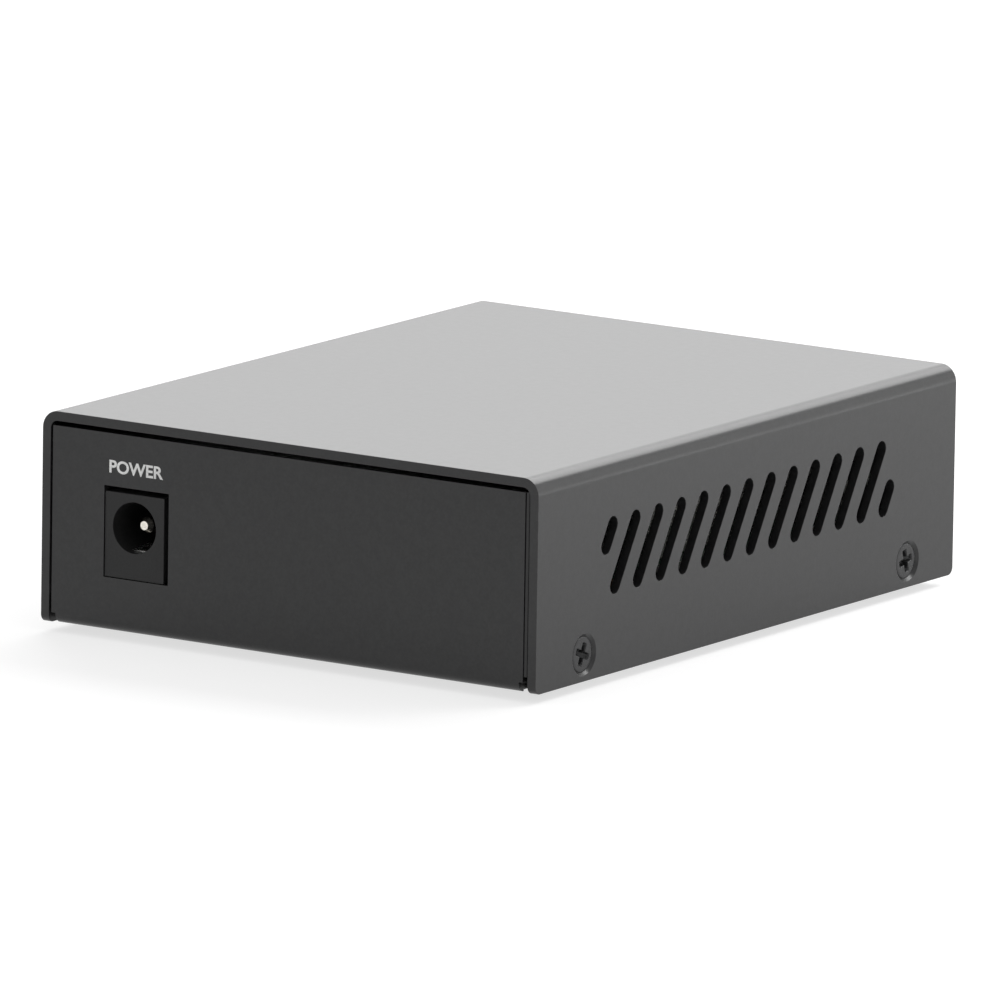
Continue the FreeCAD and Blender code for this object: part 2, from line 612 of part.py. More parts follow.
# Bend reliefs at the four corners: clear through the floor beside the flange ends, and a small
# notch in the lower corner of each end panel.
CORNERS = [(across, along) for across in (1, -1) for along in (1, -1)]
draw = draw_on(tray, "XY", *[rectangle(
    f"{across}*(panel_x - sheet_t - relief_w)", f"{along}*flange_y",
    f"{across}*(panel_x + sheet_t)", f"{along}*panel_in") for across, along in CORNERS])
pocket(tray, draw, "sheet_t + bend_r", back=True)
PANEL_ENDS = [(1, 1, "panel_x"), (1, -1, "panel_x"), (-1, 1, "trim_x"), (-1, -1, "panel_x")]
draw = draw_on(tray, "XY", *[rectangle(
    f"{across}*({end} - relief_w)", f"{along}*panel_in",
    f"{across}*(panel_x + sheet_t)", f"{along}*(panel_y + sheet_t)") for across, along, end in PANEL_ENDS])
pocket(tray, draw, "relief_up", back=True)
# The rear panel is cut back along its edge on the -X side.
draw = draw_on(tray, "XY", rectangle("-panel_x - sheet_t", "panel_in", "-trim_x", "panel_y + sheet_t"))
pocket(tray, draw, "case_h", back=True)
round_off(tray, lambda b: b.XLength > value("case_w/2") and b.ZMax < 1e-4 and near(abs(b.YMin), "panel_y"),
          "tray_bend_r")
round_off(tray, lambda b: b.XLength > value("case_w/2") and near(b.ZMin, "sheet_t")
          and near(abs(b.YMin), "panel_in") and b.YLength < 1e-4, "tray_fold_r")
round_off(tray, lambda b: b.YLength > value("case_d/2") and b.ZMax < 1e-4 and near(abs(b.XMin), "panel_x"),
          "tray_bend_r")

# Flange holes that take the case screws.
draw = draw_on(tray, "YZ", ring("screw_y", "screw_z", "shank_hole", 12),
               ring("-screw_y", "screw_z", "shank_hole", 12))
pocket(tray, draw, both=True)
# Hexagonal holes in the floor for the pressed-in standoffs.
draw = draw_on(tray, "XY", *[ring(f"{across}*post_x", f"{along}*post_y", "(post_r + post_fit)", 6)
                             for across, along in CORNERS])
pocket(tray, draw, "sheet_t", back=True)
# Rear panel cut-out for the power jack.
draw = draw_on(tray, "XZ", rectangle(
    "jack_x - jack_shift - jack_w/2 - jack_side", "board_top - jack_under",
    "jack_x - jack_shift + jack_w/2 + jack_side", "board_top + jack_h + jack_over"),
    level="-panel_y - sheet_t")
pocket(tray, draw, "3*sheet_t", back=True)
# Front panel cut-outs: module cage, network jack, switch window and the four lights.
draw = draw_on(
    tray, "XZ",
    rectangle("cage_x - cage_w/2 - finger_out - finger_gap", "board_top - finger_out - finger_gap",
              "cage_x + cage_w/2 + finger_out + finger_gap", "board_top + cage_h + finger_out + finger_gap"),
    rectangle("net_x - net_w/2 - finger_out - finger_gap", "board_top - finger_gap",
              "net_x + net_w/2 + finger_out + finger_gap", "board_top + net_h + finger_out + finger_gap"),
    rectangle("dip_x - dip_w/2 + window_side", "board_top + lever_z - lever_h/2 - window_side",
              "dip_x + dip_w/2 - window_side",
              "board_top + lever_z + lever_h/2 + lever_travel + window_side"),
    *[ring(f"lamp_x + {side}*lamp_pitch/2", f"board_top + lamp_z + {row}*lamp_pitch",
           "(lamp_r + lamp_fit)", 16) for side in (-1, 1) for row in (0, 1)],
    level="panel_y + sheet_t")
pocket(tray, draw, "3*sheet_t")

# Four adhesive rubber feet.
feet = body("rubber_feet", z="0")
pad(feet, draw_on(feet, "XY", ring("case_w/2 - foot_in", "case_d/2 - foot_in", "foot_r", 24)), "foot_h")
mirror(feet, "YZ")
mirror(feet, "XZ")

# Four countersunk cross-recessed case screws, heads flush with the cover sides.
screws = body("case_screws")
draw = draw_on(screws, "XZ", polygon(
    ("head_x - screw_head_r + screw_r", "0"), ("head_x", "0"), ("head_x", "screw_head_r"),
    ("head_x - screw_head_r + screw_r", "screw_r")), level="-screw_y", y="screw_z")
revolve(screws, draw, "H_Axis")
draw = draw_on(screws, "YZ", ring("screw_y", "screw_z", "screw_r", 12),
               level="head_x - screw_head_r + screw_r")
pad(screws, draw, "screw_l - screw_head_r + screw_r", back=True)
CROSS = polygon(
    ("cross_w/2", "cross_w/2"), ("cross_w/2", "cross_l/2"), ("-cross_w/2", "cross_l/2"),
    ("-cross_w/2", "cross_w/2"), ("-cross_l/2", "cross_w/2"), ("-cross_l/2", "-cross_w/2"),
    ("-cross_w/2", "-cross_w/2"), ("-cross_w/2", "-cross_l/2"), ("cross_w/2", "-cross_l/2"),
    ("cross_w/2", "-cross_w/2"), ("cross_l/2", "-cross_w/2"), ("cross_l/2", "cross_w/2"))
pocket(screws, draw_on(screws, "YZ", CROSS, level="head_x", x="screw_y", y="screw_z"), "cross_deep", taper=8)
mirror(screws, "YZ")
mirror(screws, "XZ")

# Self-clinching hexagonal standoffs, flush below the tray floor, tapped for the board screws.
posts = body("board_standoffs")
pad(posts, draw_on(posts, "XY", ring("post_x", "post_y", "post_r", 6)), "board_low")
pocket(posts, draw_on(posts, "XY", ring("post_x", "post_y", "board_hole", 12)), "board_low", back=True)
mirror(posts, "YZ")
mirror(posts, "XZ")

# Circuit board with its fixing holes and the holes for pegs and solder legs.
board = body("circuit_board", z="foot_h + board_low")
pad(board, draw_on(board, "XY", rectangle("-board_x", "-board_fore", "board_x", "board_aft")), "board_t")
round_off(board, lambda b: near(b.ZLength, "board_t") and b.XLength < 1e-4 and b.YLength < 1e-4,
          "board_corner", "Chamfer")


def leg_hole(x, y, wide, deep):
    """Plated slot round a solder leg."""
    return rectangle(f"{x} - {wide}/2 - leg_fit", f"{y} - {deep}/2 - leg_fit",
                     f"{x} + {wide}/2 + leg_fit", f"{y} + {deep}/2 + leg_fit")


pocket(board, draw_on(
    board, "XY",
    *[ring(f"{across}*post_x", f"{along}*post_y", "board_hole", 12) for across, along in CORNERS],
    *[ring(f"net_x + {side}*peg_x", "port_y + peg_y", "(peg_r + screw_gap)", 12) for side in (1, -1)],
    *[leg_hole(f"cage_x + {side}*(cage_w - cage_t)/2", f"port_y + cage_pin_y + {step}*cage_pin_pitch",
               "cage_t", "cage_pin_w") for side in (-1, 1) for step in range(int(value("cage_pins")))],
    *[leg_hole(f"net_x + {side}*(net_w - net_t)/2", "port_y + tab_y", "net_t", "tab_w")
      for side in (1, -1)],
    leg_hole("jack_x", "jack_y - jack_leaf_y", "jack_leg_w", "jack_leg_t"),
    leg_hole("jack_x", "jack_y - jack_l - jack_leg_t/2", "jack_leg_w", "jack_leg_t")), None, both=True)

# Pan head screws that hold the board down on its standoffs.
pins = body("board_screws", z="foot_h + board_top")
pad(pins, draw_on(pins, "XY", ring("post_x", "post_y", "pin_screw_head_r", 12)), "pin_screw_head_h")
round_off(pins, lambda b: near(b.ZMin, "pin_screw_head_h"), "pin_screw_head_h/3", "Chamfer")
pad(pins, draw_on(pins, "XY", ring("post_x", "post_y", "pin_screw_r", 12)), "pin_screw_l", back=True)
mirror(pins, "YZ")
mirror(pins, "XZ")

# Optical module cage: a folded sheet tube, closed at the rear, open at the front and below the
# module connector, with press pins through the board and holes in its roof.
cage = body("module_cage", "cage_x", "port_y", "foot_h + board_top")
pad(cage, draw_on(cage, "XZ", rectangle("-cage_w/2", "0", "cage_w/2", "cage_h")), "cage_l", back=True)
round_off(cage, lambda b: near(b.YLength, "cage_l"), "cage_bend")
pocket(cage, draw_on(cage, "XZ", rectangle("-cage_w/2 + cage_t", "cage_t", "cage_w/2 - cage_t",
                                           "cage_h - cage_t")), "cage_l - cage_t")
draw = draw_on(
    cage, "XY",
    rectangle("-host_w/2 - host_gap", "host_y - host_gap", "host_w/2 + host_gap", "cage_l - cage_t"),
    polygon(("-latch_hole/2", "latch_y"), ("latch_hole/2", "latch_y"), ("0", "latch_y + latch_hole")))
pocket(cage, draw, "2*cage_t", back=True)
draw = draw_on(cage, "XY", *[ring(f"{column}*cage_vent_pitch", "cage_vent_y", "cage_vent_r", 6)
                             for column in (-1, 0, 1)], level="cage_h")
roof = pocket(cage, draw, "2*cage_t")
repeat(cage, roof, "Y", "cage_vent_pitch", "cage_vent_rows")
draw = draw_on(cage, "XY", rectangle("cage_w/2 - cage_t", "cage_pin_y - cage_pin_w/2", "cage_w/2",
                                     "cage_pin_y + cage_pin_w/2"), level="2*cage_bend")
pin = pad(cage, draw, "2*cage_bend + cage_pin_l", back=True)
repeat(cage, pin, "Y", "cage_pin_pitch", "cage_pins")
mirror(cage, "YZ")

# Sprung collar round the cage mouth: a band with bowed fingers that earth the cage to the panel.
collar = body("cage_spring_collar", "cage_x", "port_y", "foot_h + board_top")


def bow(base, level, swap=False, wall="finger_t", start="finger_start", length="finger_l", out="finger_out"):
    """Bowed strip that leaves a wall at base, stands out by the bulge and comes back to the wall."""
    spots = (("0", start), (f"{out} - finger_seat - {wall}", f"{start} + 0.4*({length} - {start})"),
             ("0", length), (wall, length), (f"{out} - finger_seat", f"{start} + 0.4*({length} - {start})"),
             (wall, start))
    shape = [(f"{level}*({base} + {step})", along) for step, along in spots]
    if swap:
        shape = [(along, rise) for rise, along in shape]
    return polygon(*shape)


draw = draw_on(
    collar, "XZ",
    rectangle("-band_x - finger_t", "-finger_seat - finger_t", "band_x + finger_t",
              "cage_h + finger_seat + finger_t"),
    rectangle("-band_x", "-finger_seat", "band_x", "cage_h + finger_seat"), level="-finger_l")
pad(collar, draw, "band_l", back=False)
side = pad(collar, draw_on(collar, "XY", bow("band_x", "1"), level="finger_low"), "finger_w", both=True)
side_row = repeat(collar, side, "Z", "finger_pitch", "finger_rows")
mirror(collar, "YZ")
top = pad(collar, draw_on(collar, "YZ", bow("(cage_h + finger_seat)", "1", swap=True),
                          bow("finger_seat", "-1", swap=True),
                          level="-finger_pitch*(finger_cols - 1)/2"), "finger_w", both=True)
repeat(collar, top, "X", "finger_pitch", "finger_cols")

# Module connector at the back of the cage, with a card slot towards the mouth.
host = body("module_connector", "cage_x", "port_y + host_y", "foot_h + board_top")
pad(host, draw_on(host, "XZ", rectangle("-host_w/2", "0", "host_w/2", "host_h")), "host_l", back=True)
round_off(host, lambda b: near(b.XLength, "host_w") and near(b.ZMin, "host_h") and near(b.YMin, "0"),
          "host_h/6", "Chamfer")
pocket(host, draw_on(host, "XZ", rectangle("-host_slot_w/2", "host_slot_z - host_slot_h/2",
                                           "host_slot_w/2", "host_slot_z + host_slot_h/2")), "host_slot_l")
host_pins = body("module_connector_contacts", "cage_x", "port_y + host_y", "foot_h + board_top")
draw = draw_on(
    host_pins, "YZ",
    rectangle("host_slot_l/4", "host_slot_z - host_slot_h/2", "host_slot_l",
              "host_slot_z - host_slot_h/2 + lead_t"),
    rectangle("host_slot_l/4", "host_slot_z + host_slot_h/2 - lead_t", "host_slot_l",
              "host_slot_z + host_slot_h/2"), level="-host_pitch*(host_count - 1)/2")
strip = pad(host_pins, draw, "lead_w", both=True)
repeat(host_pins, strip, "X", "host_pitch", "host_count")

# Network jack shield: a folded box, open below, with the plug opening in front, bowed earthing
# tabs on its roof and sides and two legs through the board.
shield = body("network_jack_shield", "net_x", "port_y", "foot_h + board_top")
pad(shield, draw_on(shield, "XZ", rectangle("-net_w/2", "0", "net_w/2", "net_h")), "net_l", back=True)
round_off(shield, lambda b: near(b.YLength, "net_l") and near(b.ZMin, "net_h"), "cage_bend")
pocket(shield, draw_on(shield, "XY", rectangle("-net_w/2 + net_t", "net_t", "net_w/2 - net_t",
                                               "net_l - net_t")), "net_h - net_t", back=True)
PORT = polygon(
    ("-plug_w/2", "plug_z"), ("-latch_w/2", "plug_z"), ("-latch_w/2", "plug_z - latch_h"),
    ("latch_w/2", "plug_z - latch_h"), ("latch_w/2", "plug_z"), ("plug_w/2", "plug_z"),
    ("plug_w/2", "plug_z + plug_h"), ("-plug_w/2", "plug_z + plug_h"))
pocket(shield, draw_on(shield, "XZ", PORT), "2*net_t")
tab = pad(shield, draw_on(shield, "XY", bow("(net_w/2 - net_t/2)", "1", wall="net_t/2", length="tab_l",
                                            out="finger_out + net_t/2"), level="net_h/2"),
          "tab_wide", both=True)
mirror(shield, "YZ", tab)
tab = pad(shield, draw_on(shield, "YZ", bow("(net_h - net_t/2)", "1", swap=True, wall="net_t/2", length="tab_l",
                                            out="finger_out + net_t/2"), level="net_w/4"),
          "tab_wide", both=True)
mirror(shield, "YZ", tab)
draw = draw_on(shield, "XY", rectangle("net_w/2 - net_t", "tab_y - tab_w/2", "net_w/2", "tab_y + tab_w/2"),
               level="net_t")
leg = pad(shield, draw, "net_t + peg_l", back=True)
mirror(shield, "YZ", leg)

# Network jack moulding: the plug cavity with its latch notch, a shaft behind it for the contact
# wires and two locating pegs.
jack = body("network_jack_moulding", "net_x", "port_y", "foot_h + board_top")
draw = draw_on(jack, "XZ", rectangle("-net_w/2 + net_t + net_fit", "0", "net_w/2 - net_t - net_fit",
                                     "net_h - net_t - net_fit"), level="-net_t - net_fit")
pad(jack, draw, "net_l - 2*net_t - 2*net_fit", back=True)
pocket(jack, draw_on(jack, "XZ", PORT), "plug_l")
draw = draw_on(jack, "XZ", rectangle("-shaft_x", "plug_roof - 2*wire_t", "shaft_x", "plug_roof"))
pocket(jack, draw, "shaft_y")
draw = draw_on(jack, "XY", rectangle("-shaft_x", "shaft_y - 3*wire_t", "shaft_x", "shaft_y"))
pocket(jack, draw, "plug_roof", back=True)
pad(jack, draw_on(jack, "XY", ring("peg_x", "peg_y", "peg_r", 12), ring("-peg_x", "peg_y", "peg_r", 12)),
    "peg_l", back=True)

# Eight sprung contact wires: each lies under the cavity roof, folds back at the mouth and slopes
# down to a free end, and drops down the shaft to the board.
wires = body("network_jack_contacts", "net_x", "port_y", "foot_h + board_top")
draw = draw_on(wires, "YZ", polygon(
    ("wire_y", "plug_roof"), ("drop_y", "plug_roof"), ("drop_y", "0"), ("drop_y - wire_t", "0"),
    ("drop_y - wire_t", "plug_roof - wire_t"), ("wire_y + 4*wire_t", "plug_roof - wire_t"),
    ("wire_y + wire_l", "plug_roof - wire_drop + wire_t"), ("wire_y + wire_l", "plug_roof - wire_drop"),
    ("wire_y", "plug_roof - wire_t")), level="-wire_pitch*(wire_count - 1)/2")
wire = pad(wires, draw, "wire_w", both=True)
repeat(wires, wire, "X", "wire_pitch", "wire_count")

# Two-way function switch: a moulded housing with a vertical slot for each lever.
switch = body("switch_housing", "dip_x", "dip_y", "foot_h + board_top")
pad(switch, draw_on(switch, "XZ", rectangle("-dip_w/2", "0", "dip_w/2", "dip_h")), "dip_l", back=True)
round_off(switch, lambda b: near(b.YLength, "dip_l"), "window_side/2", "Chamfer")
pocket(switch, draw_on(switch, "XZ", *[rectangle(
    f"{side}*way_pitch/2 - lever_w/2 - lever_gap", "lever_z - lever_h/2 - lever_gap",
    f"{side}*way_pitch/2 + lever_w/2 + lever_gap", "lever_z + lever_h/2 + lever_travel + lever_gap")
    for side in (-1, 1)]), "lever_deep + lever_gap")
for label, side in (("switch_lever_left", "-1"), ("switch_lever_right", "1")):
    lever = body(label, f"dip_x + {side}*way_pitch/2", "dip_y", "foot_h + board_top + lever_z")
    draw = draw_on(lever, "XZ", rectangle("-lever_w/2", "-lever_h/2", "lever_w/2", "lever_h/2"),
                   level="dip_gap + sheet_t + lever_out")
    pad(lever, draw, "dip_gap + sheet_t + lever_out + lever_deep", back=True)
    round_off(lever, lambda b: near(b.YMax, "-dip_gap - sheet_t - lever_out") and near(b.XLength, "lever_w"),
              "lever_w/5", "Chamfer")

# Light block: a black moulding with four sockets, and the four indicator lights in it.
block = body("light_block", "lamp_x", "lamp_y", "foot_h + board_top")
pad(block, draw_on(block, "XZ", rectangle("-lamp_w/2", "0", "lamp_w/2", "lamp_h")), "lamp_l", back=True)
round_off(block, lambda b: near(b.YLength, "lamp_l") and near(b.ZMin, "lamp_h"), "window_side", "Chamfer")
pocket(block, draw_on(block, "XZ", *[
    ring(f"{side}*lamp_pitch/2", f"lamp_z + {row}*lamp_pitch", "(lamp_r + lamp_fit)", 16)
    for side in (-1, 1) for row in (0, 1)]), "lamp_deep")
lamps = body("indicator_lights", "lamp_x", "lamp_y", "foot_h + board_top")
draw = draw_on(lamps, "XZ", ring("-lamp_pitch/2", "lamp_z", "lamp_r", 16),
               level="lamp_gap + sheet_t + lamp_out")
pad(lamps, draw, "lamp_gap + sheet_t + lamp_out + lamp_deep", back=True)
round_off(lamps, lambda b: near(b.YMax, "-lamp_gap - sheet_t - lamp_out"), "lamp_r*0.4", "Chamfer")
repeat(lamps, None, "X", "lamp_pitch", "2")
repeat(lamps, None, "Z", "lamp_pitch", "2")

# Power jack: a full height front block, a round-topped barrel behind it, the plug bore and a slot
# below the bore for the spring leaf.
barrel = body("power_jack_housing", "jack_x", "jack_y", "foot_h + board_top")
draw = draw_on(barrel, "XZ", rectangle("-barrel_x", "0", "barrel_x", "jack_z + barrel_x"))
pad(barrel, draw, "jack_l")
round_off(barrel, lambda b: near(b.YLength, "jack_l") and near(b.ZMin, "jack_z + barrel_x"),
          "barrel_x*0.95")
pad(barrel, draw_on(barrel, "XZ", rectangle("-jack_w/2", "0", "jack_w/2", "jack_h")), "jack_lip")
pocket(barrel, draw_on(barrel, "XZ", circle("0", "jack_z", "jack_hole_r")), "jack_hole_l", back=True)
pocket(barrel, draw_on(barrel, "XZ", circle("0", "jack_z", "jack_root_r + pin_fit")), "2*jack_l", back=True)
pocket(barrel, draw_on(barrel, "XY", rectangle("-jack_leg_w/2 - pin_fit", "-jack_leaf_y - 2*jack_leg_t",
                                               "jack_leg_w/2 + pin_fit", "-jack_leaf_front")),
       "jack_z - jack_hole_r/2", back=True)
terminal = body("power_jack_terminal", "jack_x", "jack_y - jack_l", "foot_h + board_top")
draw = draw_on(terminal, "XZ", polygon(
    ("-jack_leg_w/2", "-jack_leg_l"), ("jack_leg_w/2", "-jack_leg_l"), ("jack_leg_w/2", "jack_z - jack_eye"),
    ("jack_eye", "jack_z - jack_eye"), ("jack_eye", "jack_z + jack_eye"), ("-jack_eye", "jack_z + jack_eye"),
    ("-jack_eye", "jack_z - jack_eye"), ("-jack_leg_w/2", "jack_z - jack_eye")))
pad(terminal, draw, "jack_leg_t")
draw = draw_on(terminal, "XZ", ring("0", "jack_z", "(jack_root_r + 2*pin_fit)", 12))
pocket(terminal, draw, "2*jack_leg_t", back=True)
centre = body("power_jack_pin", "jack_x", "jack_y", "foot_h + board_top")
draw = draw_on(centre, "XY", polygon(
    ("0", "-jack_pin_back"), ("jack_pin_r*0.55", "-jack_pin_back"),
    ("jack_pin_r", "-jack_pin_back - jack_pin_r*0.6"),
    ("jack_pin_r", "-jack_hole_l"), ("jack_root_r", "-jack_hole_l"), ("jack_root_r", "-pin_end"),
    ("0", "-pin_end")), level="jack_z")
revolve(centre, draw)
leaf = body("power_jack_leaf", "jack_x", "jack_y", "foot_h + board_top")
draw = draw_on(leaf, "YZ", polygon(
    ("-jack_leaf_y - jack_leg_t/2", "-jack_leg_l"), ("-jack_leaf_y + jack_leg_t/2", "-jack_leg_l"),
    ("-jack_leaf_y + jack_leg_t/2", "leaf_up - 3*jack_leg_t"),
    ("-jack_leaf_front - leaf_bend", "leaf_up + jack_leg_t/2"),
    ("-jack_leaf_front - leaf_tip", "leaf_up - jack_leg_t/2"),
    ("-jack_leaf_front - leaf_tip", "leaf_up + jack_leg_t/2"),
    ("-jack_leaf_front - leaf_bend + jack_leg_t", "leaf_up + 1.5*jack_leg_t"),
    ("-jack_leaf_front - leaf_bend - jack_leg_t", "leaf_up + 1.5*jack_leg_t"),
    ("-jack_leaf_y - jack_leg_t/2", "leaf_up - 2*jack_leg_t")))
pad(leaf, draw, "jack_leg_w", both=True)


def moulded_chip(label, x, y, width, depth, height):
    """Moulded package on the board with a moulding slope round its top."""
    made = body(label, x, y, "foot_h + board_top")
    pad(made, draw_on(made, "XY", rectangle(f"-{width}/2", f"-{depth}/2", f"{width}/2", f"{depth}/2"),
                      level="chip_lift"), f"{height} - chip_lift")
    round_off(made, lambda b: near(b.ZMin, height), "chip_slope", "Chamfer")


def gull_leads(label, x, y, half, height, width, pitch, count, four_sides=False):
    """Rows of bent leads from the sides of a package, at half out from its middle, down to the board."""
    made = body(label, x, y, "foot_h + board_top")
    middle = f"({height}/2 + lead_t/2)"
    outline = polygon(
        (half, middle), (f"{half} + lead_reach*0.45", middle), (f"{half} + lead_reach", "lead_t/2"),
        (f"{half} + lead_reach", "0"), (f"{half} + lead_reach*0.6", "0"),
        (f"{half} + lead_reach*0.3", f"{middle} - lead_t"), (half, f"{middle} - lead_t"))
    lead = pad(made, draw_on(made, "YZ", outline, level=f"-{pitch}*({count} - 1)/2"), width, both=True)
    repeat(made, lead, "X", pitch, count)
    if four_sides:
        lead = pad(made, draw_on(made, "XZ", outline, level=f"{pitch}*({count} - 1)/2"), width, both=True)
        repeat(made, lead, "Y", pitch, count)
        mirror(made, "YZ")
    mirror(made, "XZ")


# Transceiver, isolation transformer, memory and supply chips with their leads.
moulded_chip("transceiver_chip", "chip_x", "chip_y", "chip_side", "chip_side", "chip_h")
gull_leads("transceiver_leads", "chip_x", "chip_y", "chip_side/2", "chip_h", "lead_w", "chip_pitch",
           "chip_leads", four_sides=True)
moulded_chip("isolation_transformer", "net_x", "magnet_y", "magnet_w", "magnet_d", "magnet_h")
gull_leads("isolation_transformer_leads", "net_x", "magnet_y", "magnet_d/2", "magnet_h", "magnet_lead",
           "magnet_pitch", "magnet_leads")
for name, x, y in (("memory_chip", "memory_x", "memory_y"),
                   ("supply_chip", "supply_x", "supply_y")):
    moulded_chip(name, x, y, "small_w", "small_d", "small_h")
    gull_leads(name + "_leads", x, y, "small_d/2", "small_h", "magnet_lead", "small_pitch", "small_leads")

# Filter capacitors: upright cans with a rolled top edge.
cans = body("filter_capacitors", "can_x", "can_y", "foot_h + board_top")
pad(cans, draw_on(cans, "XY", ring("0", "0", "can_r", 16)), "can_h")
round_off(cans, lambda b: near(b.ZMin, "can_h"), "can_edge", "Chamfer")
repeat(cans, None, "X", "can_pitch", "can_count", back=True)

# Shielded power coil: a square ferrite with cut corners and a round core on top.
coil = body("power_coil", "coil_x", "coil_y", "foot_h + board_top")
pad(coil, draw_on(coil, "XY", rectangle("-coil_side/2", "-coil_side/2", "coil_side/2", "coil_side/2")),
    "coil_h*0.9")
round_off(coil, lambda b: near(b.ZLength, "coil_h*0.9"), "coil_side/6", "Chamfer")
pad(coil, draw_on(coil, "XY", ring("0", "0", "coil_side*0.36", 16), level="coil_h*0.9"), "coil_h*0.1")

# Crystal can: an oblong drawn cap.
crystal = body("crystal_can", "crystal_x", "chip_y", "foot_h + board_top")
pad(crystal, draw_on(crystal, "XY", slot("-crystal_in", "0", "crystal_in", "0", "crystal_d/2")), "crystal_h")

# Field of chip capacitors and the input diode.
caps = body("chip_capacitors", "pad_x", "pad_y", "foot_h + board_top")
pad(caps, draw_on(caps, "XY", rectangle("-pad_w/2", "-pad_d/2", "pad_w/2", "pad_d/2")), "pad_h")
repeat(caps, None, "X", "pad_step_x", "pad_columns")
repeat(caps, None, "Y", "pad_step_y", "pad_rows")
diode = body("input_diode", "diode_x", "diode_y", "foot_h + board_top")
pad(diode, draw_on(diode, "XY", rectangle("-diode_w/2", "-diode_d/2", "diode_w/2", "diode_d/2")), "diode_h")
round_off(diode, lambda b: near(b.ZMin, "diode_h"), "chip_slope", "Chamfer")

# Check every object, then write each piece to a file of its own.
doc.recompute()
for item in doc.Objects:
    if {"Invalid", "Error"} & set(item.State):
        raise RuntimeError(f"{item.Label}: {item.State}")
pieces = [item for item in doc.Objects if item.isDerivedFrom("PartDesign::Body")]
for piece in pieces:
    if piece.Shape.isNull() or not piece.Shape.isValid():
        raise RuntimeError(f"{piece.Label}: bad shape")
os.makedirs("parts", exist_ok=True)
for piece in pieces:
    piece.Shape.exportStep(f"parts/{piece.Label}.step")
    print(piece.Label, len(piece.Shape.Solids), round(piece.Shape.Volume, 1))
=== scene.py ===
"""Desktop fibre media converter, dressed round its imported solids.

A folded steel case in charcoal powder coat holds one circuit board. The rear panel has the power jack;
the front has four lights, an optical module cage, a two-way switch and a shielded network jack.
"""
import math

import bmesh
import bpy
import numpy as np
from mathutils import Matrix, Vector


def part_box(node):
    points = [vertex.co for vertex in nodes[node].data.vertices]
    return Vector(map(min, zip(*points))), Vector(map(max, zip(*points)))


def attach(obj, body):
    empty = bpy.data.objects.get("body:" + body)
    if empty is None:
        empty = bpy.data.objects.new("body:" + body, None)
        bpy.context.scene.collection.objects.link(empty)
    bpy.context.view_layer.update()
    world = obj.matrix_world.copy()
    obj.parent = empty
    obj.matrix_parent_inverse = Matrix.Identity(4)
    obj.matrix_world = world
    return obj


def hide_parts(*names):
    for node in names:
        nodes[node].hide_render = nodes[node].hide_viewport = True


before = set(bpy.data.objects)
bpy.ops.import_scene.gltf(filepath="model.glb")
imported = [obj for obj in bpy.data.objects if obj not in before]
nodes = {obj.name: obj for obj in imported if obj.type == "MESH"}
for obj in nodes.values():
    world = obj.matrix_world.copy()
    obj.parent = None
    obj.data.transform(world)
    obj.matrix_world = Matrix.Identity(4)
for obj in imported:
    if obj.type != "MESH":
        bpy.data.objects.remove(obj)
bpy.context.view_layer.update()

# --- Studio -----------------------------------------------------------------------------------
# A pale floor under a white surround, and five soft lamps: one overhead, two beyond the front that
# the top and its bend mirror, one over the floor that the near side mirrors, and a dim one on the
# horizon for the foot of the bend.
CAMERA_TURN, CAMERA_RISE, CAMERA_ROLL = 213.461, 11.104, 0.901   # degrees
CAMERA_AWAY, CAMERA_AIM = 2.2426, (0.0, 0.0, 0.0147)             # metres
CAMERA_LENS, FILM_W = 651.5, 36.0                                # mm
FRAME_SHIFT_X, FRAME_SHIFT_Y = -0.00212, -0.00917                # shares of the frame's width
turn, rise, roll = (math.radians(angle) for angle in (CAMERA_TURN, CAMERA_RISE, CAMERA_ROLL))
back = Vector((math.sin(turn)*math.cos(rise), -math.cos(turn)*math.cos(rise), math.sin(rise)))
right = Vector((math.cos(turn), math.sin(turn), 0.0))
above = back.cross(right)
level = right*math.cos(roll) + above*math.sin(roll)
upright = above*math.cos(roll) - right*math.sin(roll)
camera = bpy.data.objects.new("studio_camera", bpy.data.cameras.new("studio_camera"))
bpy.context.scene.collection.objects.link(camera)
camera.matrix_world = (Matrix.Translation(Vector(CAMERA_AIM) + back*CAMERA_AWAY)
                       @ Matrix((level, upright, back)).transposed().to_4x4())
camera.data.lens, camera.data.sensor_width = CAMERA_LENS, FILM_W
camera.data.shift_x, camera.data.shift_y = FRAME_SHIFT_X, FRAME_SHIFT_Y
camera.data.clip_start, camera.data.clip_end = 0.05, 50.0
bpy.context.scene.camera = camera
bpy.context.scene.view_settings.view_transform = "Standard"


def add(tree, kind, inputs=None, **fields):
    """Add a shader node. An input is given a value, or a socket that feeds it."""
    made = tree.nodes.new("ShaderNode" + kind)
    for field, value in fields.items():
        setattr(made, field, value)
    for name, value in (inputs or {}).items():
        if isinstance(value, bpy.types.NodeSocket):
            tree.links.new(value, made.inputs[name])
        else:
            made.inputs[name].default_value = value
    return made


def arithmetic(tree, operation, *terms):
    """Output of one math node."""
    return add(tree, "Math", dict(enumerate(terms)), operation=operation).outputs[0]


def blank_material(name):
    made = bpy.data.materials.new(name)
    made.use_nodes = True
    made.node_tree.nodes.clear()
    return made, made.node_tree


def mirrored_or_seen(tree):
    """1 on rays that come straight from the camera, off gloss or through glass, else 0."""
    path = add(tree, "LightPath").outputs
    seen = arithmetic(tree, "MAXIMUM", path["Is Camera Ray"], path["Is Glossy Ray"])
    return arithmetic(tree, "MAXIMUM", seen, path["Is Transmission Ray"])


WELD = 1e-7         # points nearer than this are one, metres
CREASE = 40.0       # edges that turn more than this stay sharp or are rounded, degrees


